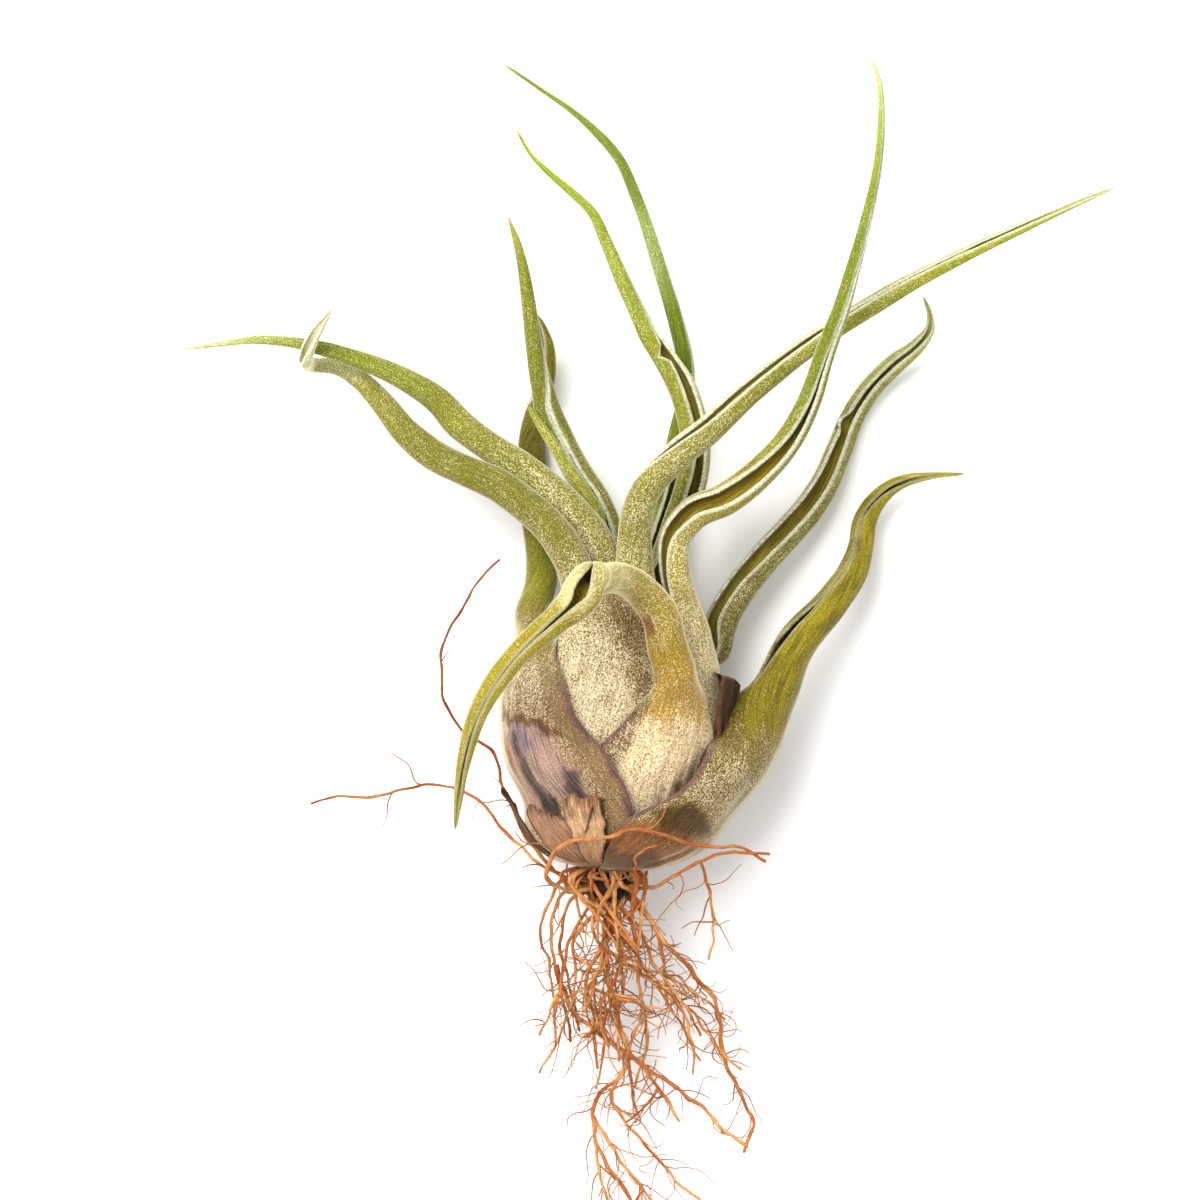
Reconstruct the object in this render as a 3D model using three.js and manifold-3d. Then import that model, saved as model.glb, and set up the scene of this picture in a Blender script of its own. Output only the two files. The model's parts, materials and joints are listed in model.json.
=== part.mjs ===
// A medusa's head air plant lying on its side: a false bulb of overlapping leaf sheaths round a short
// stem, eleven long channelled leaves, a young and a withered one, torn dry bracts and a tangle of
// wiry roots.
// Units are millimetres. +Y runs along the bulb from the roots to the leaf tips, +Z is up from the
// surface, and the origin is the small flat spot under the bulb, where it rests.
import * as THREE from "three";
import { mergeVertices } from "three/addons/utils/BufferGeometryUtils.js";
import Module from "manifold-3d";

const wasm = await Module();
wasm.setup();

// Driving dimensions
const bulbAxis = { x: -0.8, z: 22 }; // the stem's line, which runs along Y
const seatGap = 0.3; // running gap between neighbouring solids
const sheathThickness = 1.0;
const sheathEdge = 0.7;
const bladeThickness = 1.5;
const bladeEdge = 0.8;
const bladeDepth = 0.86; // depth of a blade's section for its width
const keelReach = 6.5; // how far a sheath's swollen midrib spreads to each side
const bowlTurns = [12, 38, 64]; // turns at which the rounded foot of a sheath is cut
const bowlWrap = 6; // how much further a sheath's foot wraps than its first row
const acrossSteps = 8;
const stepLength = 7;
const crownRadius = 4.6;
const bractThickness = 0.7;
const finestRoot = 0.33; // half the thickness of the finest roots
const fillerRoots = 11;
const sideRoots = 14;
const seatedLeaf = "leaf_left_outer"; // its back carries the flat spot
const seatCentre = { x: -2, y: 5 }; // the flat spot's middle, which becomes the origin
const pressedWall = 0.85; // thickness left where the sheath is pressed flat
const deg = Math.PI / 180;

const leafColours = {
  leaf_right_low: 0xa6a45a,
  leaf_left_outer: 0xa39a72,
  leaf_front_bowed: 0xc4c07a,
  leaf_right_tall: 0xa9aa6a,
  leaf_front_kinked: 0xb0ad78,
  leaf_left_upright: 0xabab62,
  leaf_right_hooked: 0x9b9c62,
  leaf_back_tall: 0xa3bd68,
  leaf_right_long: 0xb4b478,
  leaf_back_inner: 0xaeb765,
  leaf_left_sweeping: 0xa7a968,
  leaf_left_young: 0xb0b06c,
  leaf_withered: 0x8a6a45,
};
const bractColours = {
  bract_brown: 0x8a6844,
  bract_pale: 0xb49c7a,
  bract_strip_long: 0x5c452f,
  bract_strip_short: 0x6b5036,
};

// The stem's radius at heights along Y
const stemProfile = [
  [-22.6, 3.8],
  [-21.4, 5.2],
  [-18.6, 5.8],
  [-12, 5.4],
  [-5, 4.2],
  [1, 2.8],
  [4, 1.4],
];

function stemRadius(y) {
  for (let i = 1; i < stemProfile.length; i++) {
    const [y0, r0] = stemProfile[i - 1];
    const [y1, r1] = stemProfile[i];
    if (y <= y1) return r0 + ((r1 - r0) * Math.max(0, y - y0)) / (y1 - y0);
  }
  return stemProfile.at(-1)[1];
}

// Each leaf has a sheath and a blade.
// sheath rows: height y, outer radius, shift of the arc's centre outwards, azimuth of the midrib,
// half angle of wrap, height of the keel. Azimuth 0 faces up, 90 faces +X.
// blade rows: centre x, y, z, width, roll of the channel, half angle of wrap. Roll 0 opens the channel
// upwards, 90 to the left of the way the leaf grows, 180 downwards.
const leaves = [
  {
    name: "leaf_right_low",
    base: -22.2,
    sheath: [
      [-12, 20.6, 3, 95, 98, 0],
      [-5, 19.2, 10.5, 95, 84, 0],
      [1.5, 15.5, 18, 96, 86, 0],
      [8, 9, 27, 97, 108, 0],
    ],
    blade: [
      [32.1, 14.5, 18.5, 11.6, 86, 146],
      [36.6, 23.5, 16.5, 8.8, 54, 160],
      [43.9, 31.8, 13, 7.3, 43, 172],
      [48.3, 38.1, 10, 6.3, 38, 172],
      [50, 43.4, 7.5, 5.4, 35, 170],
      [50.6, 47.4, 6.2, 5, 27, 168],
      [52.3, 51.1, 6.4, 4.3, 14, 166],
      [55.2, 54.3, 8, 3.4, -2, 160],
      [58.7, 56.1, 10, 2.5, -14, 148],
      [62.1, 56.8, 12, 1.8, -18, 136],
      [65.9, 57.2, 14, 1.2, -20, 126],
      [70.3, 57.3, 16, 0.7, -20, 120],
    ],
  },
  {
    name: "leaf_left_outer",
    base: -20.9,
    sheath: [
      [-9, 19.4, -2.4, -97, 101, 0],
      [0, 22.9, -1.8, -98, 94, 0],
      [9, 22.9, -0.7, -102, 82, 0],
      [16, 21.9, -0.1, -98, 72, 0],
      [22, 20, -0.3, -93, 57, 0],
    ],
    blade: [
      [-16.5, 29.6, 15.6, 8.2, -108, 112],
      [-14.9, 36, 11.6, 6.8, -145, 156],
      [-14.9, 41.1, 8.8, 6.3, -165, 160],
      [-15.6, 46.2, 6.2, 6.1, 180, 160],
      [-16.4, 52.3, 3.9, 6.1, 180, 160],
      [-16.8, 60.5, 2.6, 5.9, 180, 158],
      [-16.2, 69.5, 2.8, 5.3, 110, 150],
      [-15, 73.7, 3.9, 4.9, 70, 148],
      [-14.1, 78.7, 5.4, 4.5, 50, 145],
      [-14.1, 83.7, 7.5, 3.6, 40, 142],
      [-15.3, 87.6, 9.6, 2.4, 30, 135],
      [-16.1, 90.1, 11.5, 0.9, 20, 125],
    ],
  },
  {
    name: "leaf_front_bowed",
    base: -19.4,
    sheath: [
      [-9, 16.2, 0.6, 31, 60, 0.6],
      [0, 19.5, 1.1, 31, 47, 1],
      [6, 21, 1.1, 34, 34, 0.9],
      [11, 21.2, 1, 36, 24, 0.9],
    ],
    blade: [
      [11.5, 17.5, 40.4, 9.2, 150, 96],
      [10.1, 23, 42.4, 8, 165, 140],
      [8.4, 29.5, 45.4, 7.4, 180, 156],
      [4.9, 33.9, 49, 6.8, -175, 160],
      [0.3, 36.2, 56, 6.2, -165, 160],
      [-3.4, 36, 61.5, 6.8, -128, 150],
      [-5.6, 35.2, 65.2, 7.8, -24, 138],
      [-7.6, 31.4, 67.2, 6.8, -6, 152],
      [-11.3, 28.2, 68, 5.4, -2, 164],
      [-18.2, 22.1, 67.5, 4.8, 5, 168],
      [-23.6, 15.3, 65, 4.4, 10, 168],
      [-27.1, 8.3, 61, 3.7, 10, 166],
      [-29.1, 1.3, 57, 2.9, 8, 160],
      [-30.4, -6.6, 52, 1.7, 5, 148],
      [-31.1, -12.6, 48, 0.8, 0, 132],
    ],
  },
  {
    name: "leaf_right_tall",
    base: -17.9,
    sheath: [
      [-9, 14.4, 0.3, 84, 46, 0],
      [0, 17.7, 0.5, 84, 48, 0.6],
      [9, 20, 0.8, 84, 44, 2],
      [16, 19.6, 1, 76, 29, 1.7],
    ],
    blade: [
      [15.2, 24.6, 27.6, 9.1, 96, 100],
      [13.4, 31, 29.4, 7.9, 84, 130],
      [11.8, 37.9, 30.6, 6.9, 64, 148],
      [11.8, 44.1, 31, 6.7, 44, 146],
      [15, 48.7, 31, 6.7, 26, 142],
      [21.5, 51.8, 31.4, 6.5, 12, 141],
      [28.7, 57.3, 32.6, 6, -4, 142],
      [34.2, 63.5, 34, 5.5, -14, 150],
      [37.9, 70.6, 35.6, 4.9, -22, 158],
      [40.8, 79.5, 37.4, 4.2, -28, 164],
      [44, 88.3, 39, 3.8, -34, 166],
      [46.6, 97, 40.5, 3.1, -42, 166],
      [48.9, 105.8, 42, 2.6, -50, 164],
      [50.8, 114.6, 43.4, 2.2, -58, 158],
      [51.7, 123.3, 44.8, 1.8, -64, 148],
      [51.4, 132, 46.2, 1.3, -68, 136],
      [49.8, 137.8, 47.2, 0.7, -70, 122],
    ],
  },
  {
    name: "leaf_front_kinked",
    base: -17.9,
    sheath: [
      [-9, 15.2, 0, -26, 50, 0],
      [0, 18.5, 0, -24, 50, 0.2],
      [10, 19.9, 0.3, -12, 44, 0.4],
      [20, 18.2, 0.6, -4, 33, 0.2],
      [28, 15.4, 0.8, -8, 32, 0.2],
    ],
    blade: [
      [-6.5, 34.4, 34.8, 8.3, 188, 95],
      [-8.7, 39.9, 33.6, 7.1, 190, 140],
      [-11.8, 45, 33, 6.8, 186, 155],
      [-17.4, 50.5, 32, 6.7, 180, 158],
      [-23.1, 54.7, 30.4, 6.5, 176, 158],
      [-30.5, 58, 28, 6.1, 172, 158],
      [-36.1, 60.8, 25, 6.2, 168, 158],
      [-41.4, 65.2, 23.2, 5.8, 165, 158],
      [-46.5, 71.3, 20.8, 4.9, 165, 158],
      [-51.5, 76.4, 18.6, 4, 165, 156],
      [-56.8, 79.1, 17.2, 3.4, 165, 152],
      [-60.5, 79.1, 18.6, 3.1, 150, 148],
      [-61.7, 79.2, 22.6, 3.1, 110, 142],
      [-61.4, 80, 27.6, 3.4, 60, 130],
      [-60.2, 82.8, 30.6, 2.9, 30, 124],
      [-58.3, 85.9, 32.4, 2.0, 20, 122],
      [-55.7, 89.2, 35.6, 0.8, 0, 120],
    ],
  },
  {
    name: "leaf_left_upright",
    base: -19.4,
    sheath: [
      [-9, 15.2, 0, -141, 50, 0],
      [0, 19.2, 0, -140, 50, 0],
      [12, 19.2, 0, -140, 42, 0],
      [20, 17.2, 0, -142, 33, 0],
    ],
    blade: [
      [-5, 31, 16.2, 8.2, 24, 100],
      [-2.6, 38.5, 16.6, 7.4, 12, 136],
      [-1.6, 45, 17.6, 6.4, 0, 152],
      [-3.6, 51.4, 18, 5.8, -5, 164],
      [-7.4, 57.5, 17.8, 5.8, -8, 170],
      [-10.9, 64.1, 17.6, 5.7, -8, 170],
      [-13.8, 70.9, 17.6, 5.2, -12, 170],
      [-15, 76.1, 18, 4.6, -50, 170],
      [-16.2, 83.1, 19, 4, -84, 170],
      [-17.1, 90, 20.4, 3.5, -96, 166],
      [-18.1, 96.8, 22.4, 2.9, -100, 156],
      [-19.5, 103.2, 25, 2.1, -100, 140],
      [-21.2, 108.3, 28, 0.7, -100, 120],
    ],
  },
  {
    name: "leaf_right_hooked",
    base: -16.4,
    sheath: [
      [-9, 12.7, 0, 124, 56, 0],
      [0, 15.9, 0, 124, 50, 0],
      [9, 17, 0.2, 125, 42, 0],
      [15, 15.2, 1.6, 128, 29, 0],
    ],
    blade: [
      [19.6, 21.9, 13.2, 8.5, 66, 98],
      [21.6, 28, 13.2, 7.5, 60, 135],
      [25.2, 34.2, 12, 7, 48, 142],
      [29.9, 40.1, 10.8, 6.7, 36, 140],
      [35, 45.6, 9, 6.5, 28, 140],
      [39.6, 50.9, 7, 6.3, 22, 141],
      [43.1, 56.4, 5.2, 5.9, 18, 143],
      [45.9, 63, 2.8, 5.5, 12, 146],
      [48.3, 69.1, 2.3, 4.9, 4, 154],
      [51.7, 74.6, 3.2, 4.6, 0, 156],
      [56.8, 79.9, 5.4, 4.2, 0, 155],
      [61.3, 83.6, 8.6, 3.2, 0, 150],
      [63.6, 87.1, 12, 2, 0, 138],
      [63.2, 90.1, 14.6, 1.2, 0, 128],
      [61.8, 93, 17, 0.7, 0, 120],
    ],
  },
  {
    name: "leaf_back_tall",
    base: -14.9,
    sheath: [
      [-9, 11.2, 0, 172, 60, 0],
      [0, 14.4, 0, 172, 56, 0],
      [12, 15.2, 0, 168, 44, 0],
      [20, 14.2, 0, 154, 30, 0],
    ],
    blade: [
      [5.3, 30, 11.4, 8.1, 20, 100],
      [7.1, 38.1, 10.2, 6.5, 8, 138],
      [9.3, 48.2, 9.4, 5.5, -18, 148],
      [11.2, 57.3, 9, 4.9, -38, 150],
      [12.8, 65.4, 9, 4.5, -56, 152],
      [14.4, 74.5, 9.8, 4.2, -70, 154],
      [14.1, 80.5, 10.4, 4.1, -78, 155],
      [12.3, 88.5, 11.2, 3.8, -84, 155],
      [9.9, 96.5, 12.4, 3.6, -88, 155],
      [7.4, 104.5, 13.6, 3.2, -92, 154],
      [4.1, 113.7, 15, 2.8, -94, 152],
      [0.9, 120.5, 16.4, 2.6, -96, 148],
      [-4.5, 126.5, 18.2, 2.1, -98, 143],
      [-9.4, 130.4, 19.8, 1.6, -100, 136],
      [-15.4, 134.4, 21.4, 1.1, -100, 128],
      [-22.1, 138.9, 23, 0.7, -100, 120],
    ],
  },
  {
    name: "leaf_right_long",
    base: -14.9,
    sheath: [
      [-9, 11.6, 0, 16, 58, 0],
      [0, 14.9, 0, 16, 54, 0],
      [12, 16, 0, 16, 46, 0],
      [23, 14.2, 0.2, 14, 36, 0],
    ],
    blade: [
      [4.1, 32, 31.6, 8.9, 174, 100],
      [3.9, 38.4, 33.2, 7.7, 162, 140],
      [3.9, 45.8, 34.8, 7.2, 138, 156],
      [5.1, 51.5, 35.6, 7.2, 108, 162],
      [8.2, 56.5, 36, 6.9, 86, 165],
      [12.7, 60.9, 35.8, 6.5, 72, 166],
      [18.4, 65.5, 34.8, 6.1, 62, 167],
      [24.6, 71.3, 33.4, 5.7, 58, 168],
      [31.8, 77.4, 31.2, 5.1, 56, 168],
      [39.2, 82.9, 29, 4.8, 54, 168],
      [44.6, 86.5, 28, 4.5, 50, 168],
      [50.1, 89.9, 27.6, 4.3, 44, 166],
      [58.9, 95.1, 28.2, 3.7, 38, 164],
      [67.9, 99.7, 29.6, 3.1, 34, 160],
      [76.7, 103.8, 31.4, 2.5, 32, 154],
      [85.7, 107.8, 33.6, 1.8, 30, 146],
      [92.4, 110.7, 35.4, 1.2, 30, 136],
      [98.1, 113, 37, 0.7, 30, 124],
    ],
  },
  {
    name: "leaf_back_inner",
    base: -13.4,
    sheath: [
      [-9, 9.7, 0, 176, 58, 0],
      [0, 12.9, 0, 176, 54, 0],
      [12, 13.4, 0, 168, 42, 0],
      [21, 11, 0, 150, 28, 0],
    ],
    blade: [
      [7.4, 31, 18.6, 8.2, 10, 100],
      [10, 38.5, 19.8, 7, 5, 138],
      [12.2, 46, 20.6, 6.4, -10, 146],
      [14.6, 53, 21.2, 6.3, -22, 149],
      [15.9, 59.5, 21.8, 6.3, -28, 150],
      [15.9, 64.9, 22, 6.2, -30, 149],
      [14.8, 69.9, 22.3, 6.1, -32, 148],
      [12.9, 75.1, 22.6, 5.9, -36, 148],
      [10, 80, 22.9, 5.2, -46, 152],
      [7, 84.4, 23.2, 4.5, -62, 156],
      [4.8, 88.8, 23.4, 4.2, -72, 158],
      [1.5, 95.7, 24, 3.8, -82, 158],
      [-1.9, 103.6, 24.8, 3.1, -90, 156],
      [-4.5, 109, 25.4, 2.5, -98, 150],
      [-8.6, 113, 26.2, 2, -104, 142],
      [-13, 116.7, 27.2, 1.5, -108, 134],
      [-16.7, 120.4, 28, 1, -110, 126],
      [-19.6, 125.3, 29, 0.7, -110, 120],
    ],
  },
  {
    name: "leaf_left_sweeping",
    base: -13.4,
    sheath: [
      [-9, 10.1, 0, -48, 58, 0],
      [0, 13.4, 0, -48, 54, 0],
      [12, 14.2, 0, -44, 46, 0],
      [22, 11.6, 0, -34, 36, 0],
    ],
    blade: [
      [-3.6, 31, 26.2, 8.3, 212, 100],
      [-2.4, 38, 26.8, 7.5, 200, 138],
      [-4, 43.5, 27.2, 7.3, 192, 150],
      [-7.8, 48.5, 27.4, 7.3, 186, 156],
      [-12.5, 53.4, 27.4, 6.9, 180, 158],
      [-18.2, 58, 27.2, 6.4, 176, 158],
      [-25.2, 62.6, 26.8, 6, 172, 158],
      [-30.8, 66.8, 26.4, 6.1, 168, 158],
      [-35.4, 71.7, 26, 5.6, 165, 158],
      [-40.8, 75.3, 25.6, 4.9, 165, 157],
      [-46.6, 78.1, 25.2, 4.2, 166, 156],
      [-52.7, 80.3, 25, 3.5, 168, 152],
      [-58.7, 82.1, 25.2, 2.9, 170, 148],
      [-64.6, 83.3, 25.6, 2.3, 174, 142],
      [-70.9, 83.7, 26.2, 1.7, 178, 136],
      [-78.4, 82.8, 27.2, 1.1, 180, 128],
      [-85.7, 81.7, 28.2, 0.7, 180, 120],
    ],
  },
  {
    name: "leaf_left_young",
    base: -11.9,
    sheath: [
      [-7.5, 7.8, 0, -60, 50, 0],
      [0, 8.5, 0, -60, 46, 0],
      [12, 7.5, 0, -55, 36, 0],
      [22, 5, 0, -50, 34, 0],
    ],
    blade: [
      [-2.6, 31, 22.7, 4, 200, 100],
      [-2.4, 38, 22, 3.4, 190, 130],
      [-2.8, 44, 22.1, 3.2, 184, 140],
      [-3.9, 49.5, 22, 3, 180, 142],
      [-6.2, 53.6, 21.9, 2.8, 180, 142],
      [-9.2, 58, 21.7, 2.6, 180, 142],
      [-12.1, 62.6, 21.3, 2.4, 180, 140],
      [-14.6, 66.4, 20.9, 1.9, 180, 136],
      [-16.2, 69, 20.5, 1.3, 180, 128],
      [-17.6, 71.4, 20.1, 0.7, 180, 120],
    ],
  },
  {
    name: "leaf_withered",
    base: -20.9,
    sheath: [
      [-9, 17.4, 0.8, 104, 26, 0],
      [0, 19.9, 2.6, 98, 23, 0],
      [8, 20.3, 3.5, 88, 26, 0],
      [14, 20.6, 4.9, 84, 28, 0],
      [18, 20.6, 5.6, 83, 25, 0],
    ],
    blade: [],
  },
];

// Values through knots with slopes that follow their neighbours; limited ones never overshoot.
function through(knots, values, limited) {
  const slopes = values.map((v, i) => {
    if (i === 0 || i === values.length - 1) {
      const a = i === 0 ? 0 : i - 1;
      return (values[a + 1] - values[a]) / (knots[a + 1] - knots[a]);
    }
    const h0 = knots[i] - knots[i - 1];
    const h1 = knots[i + 1] - knots[i];
    const d0 = (v - values[i - 1]) / h0;
    const d1 = (values[i + 1] - v) / h1;
    if (!limited) return (d0 * h1 + d1 * h0) / (h0 + h1);
    return d0 * d1 <= 0 ? 0 : (3 * (h0 + h1)) / ((2 * h1 + h0) / d0 + (h1 + 2 * h0) / d1);
  });
  return (s) => {
    let i = 0;
    while (i < knots.length - 2 && s > knots[i + 1]) i++;
    const h = knots[i + 1] - knots[i];
    const t = (s - knots[i]) / h;
    const eased = 3 * t ** 2 - 2 * t ** 3;
    return (
      (1 - eased) * values[i] +
      (t ** 3 - 2 * t ** 2 + t) * h * slopes[i] +
      eased * values[i + 1] +
      (t ** 3 - t ** 2) * h * slopes[i + 1]
    );
  };
}

const along = new THREE.Vector3(0, 1, 0);
const upward = new THREE.Vector3(0, 0, 1);

function azimuthVector(azimuth) {
  return new THREE.Vector3(Math.sin(azimuth * deg), 0, Math.cos(azimuth * deg));
}

// A station is one cross-section: centre, outward direction, plane normal, radius, half wrap and so on.
function sheathStations({ base, sheath }) {
  const [y1, r1, shift1, azimuth1, half1, keel1] = sheath[0];
  const baseRadius = stemRadius(base) + seatGap + sheathThickness;
  const bowl = bowlTurns.map((turn) => {
    const first = bowlTurns[0] * deg;
    const grown = (Math.cos(first) - Math.cos(turn * deg)) / Math.cos(first);
    const spread = (Math.sin(turn * deg) - Math.sin(first)) / (1 - Math.sin(first));
    const y = base + (y1 - base) * grown;
    const radius = baseRadius + (r1 - baseRadius) * spread;
    return [y, radius, shift1 * grown, azimuth1, half1 + bowlWrap * (1 - grown), keel1 * grown];
  });
  return [...bowl, ...sheath].map(([y, radius, shift, azimuth, half, keel]) => {
    const outward = azimuthVector(azimuth);
    return {
      centre: new THREE.Vector3(bulbAxis.x, y, bulbAxis.z).addScaledVector(outward, shift),
      outward,
      normal: along.clone(),
      radius,
      half,
      keel,
      depth: 1,
      thickness: sheathThickness,
      edge: sheathEdge,
      channel: 1,
    };
  });
}

function bladeStations({ blade }) {
  const centres = blade.map(([x, y, z]) => new THREE.Vector3(x, y, z));
  return blade.map(([, , , width, roll, half], i) => {
    const before = centres[Math.max(0, i - 1)];
    const after = centres[Math.min(centres.length - 1, i + 1)];
    const normal = after.clone().sub(before).normalize();
    const up = upward.clone().addScaledVector(normal, -upward.dot(normal)).normalize();
    const left = up.clone().cross(normal);
    const opening = up.multiplyScalar(Math.cos(roll * deg)).addScaledVector(left, Math.sin(roll * deg));
    return {
      centre: centres[i],
      outward: opening.negate(),
      normal,
      radius: width / 2,
      half,
      keel: 0,
      depth: bladeDepth,
      thickness: Math.min(bladeThickness, width * 0.26),
      edge: Math.min(bladeEdge, width * 0.16),
      channel: THREE.MathUtils.smoothstep(width, 1.2, 3.2),
    };
  });
}

function leafGeometry(leaf) {
  const stations = [...sheathStations(leaf), ...bladeStations(leaf)];
  for (const s of stations) {
    s.rib = s.centre.clone().addScaledVector(s.outward, s.radius * s.depth);
    s.curve = 1 / s.radius;
    s.reach = s.radius * s.half * deg;
  }
  const knots = [0];
  for (let i = 1; i < stations.length; i++) {
    knots.push(knots[i - 1] + Math.max(stations[i].rib.distanceTo(stations[i - 1].rib), 0.5));
  }
  const at = {};
  for (const key of ["rib", "outward", "normal"]) {
    const parts = ["x", "y", "z"].map((axis) => through(knots, stations.map((s) => s[key][axis]), false));
    at[key] = (s) => new THREE.Vector3(...parts.map((part) => part(s)));
  }
  for (const key of ["curve", "reach", "keel", "depth", "thickness", "edge", "channel"]) {
    at[key] = through(knots, stations.map((s) => s[key]), true);
  }

  const samples = [];
  for (let i = 1; i < knots.length; i++) {
    const apart = knots[i] - knots[i - 1];
    const steps = Math.max(1, Math.round(apart / stepLength));
    for (let k = 0; k < steps; k++) samples.push(knots[i - 1] + (apart * k) / steps);
  }
  samples.push(knots.at(-1));

  const skin = samples.map((s) => {
    const normal = at.normal(s).normalize();
    const outward = at.outward(s);
    outward.addScaledVector(normal, -outward.dot(normal)).normalize();
    const side = normal.clone().cross(outward);
    const radius = 1 / at.curve(s);
    const depth = at.depth(s);
    const centre = at.rib(s).addScaledVector(outward, -radius * depth);
    const half = at.reach(s) / radius;
    return Array.from({ length: acrossSteps + 1 }, (_, j) => {
      const turn = half * ((2 * j) / acrossSteps - 1);
      const reach = radius + at.keel(s) * Math.exp(-(((radius * turn) / keelReach) ** 2));
      return centre
        .clone()
        .addScaledVector(outward, reach * Math.cos(turn) * depth)
        .addScaledVector(side, reach * Math.sin(turn));
    });
  });
  const last = samples.length - 1;
  const lining = skin.map((row, i) => {
    const s = samples[i];
    const inner = row.map((point, j) => {
      const up = skin[Math.min(last, i + 1)][j].clone().sub(skin[Math.max(0, i - 1)][j]);
      const over = row[Math.min(acrossSteps, j + 1)].clone().sub(row[Math.max(0, j - 1)]);
      const facing = over.cross(up).normalize();
      const share = Math.abs((2 * j) / acrossSteps - 1) ** 2;
      const thickness = at.thickness(s) + (at.edge(s) - at.thickness(s)) * share;
      const within = point.clone().addScaledVector(facing, -thickness);
      if (leaf.name === seatedLeaf) within.z = Math.max(within.z, pressedWall);
      return within;
    });
    const shut = 1 - at.channel(s);
    return inner.map((point, j) => {
      const chord = inner[0].clone().lerp(inner[acrossSteps], j / acrossSteps);
      return point.clone().lerp(chord, shut);
    });
  });
  return shellGeometry(skin, lining);
}

// One closed body from rows of outer points and the inner points that face them.
function shellGeometry(skin, lining) {
  const rows = skin.map((row, i) => [...row, ...lining[i].slice().reverse()]);
  const around = rows[0].length;
  const faces = [];
  for (let i = 0; i < rows.length - 1; i++) {
    for (let j = 0; j < around; j++) {
      const k = (j + 1) % around;
      faces.push([rows[i][j], rows[i][k], rows[i + 1][k]]);
      faces.push([rows[i][j], rows[i + 1][k], rows[i + 1][j]]);
    }
  }
  for (const [row, flip] of [[rows[0], true], [rows.at(-1), false]]) {
    for (let j = 0; j < around / 2 - 1; j++) {
      const quad = [row[j], row[j + 1], row[around - 2 - j], row[around - 1 - j]];
      if (flip) quad.reverse();
      faces.push([quad[0], quad[1], quad[2]], [quad[0], quad[2], quad[3]]);
    }
  }
  return faceted(faces);
}

function faceted(faces) {
  const positions = faces.flat().flatMap((p) => [p.x, p.y, p.z]);
  const geometry = new THREE.BufferGeometry();
  geometry.setAttribute("position", new THREE.Float32BufferAttribute(positions, 3));
  return geometry;
}

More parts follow.
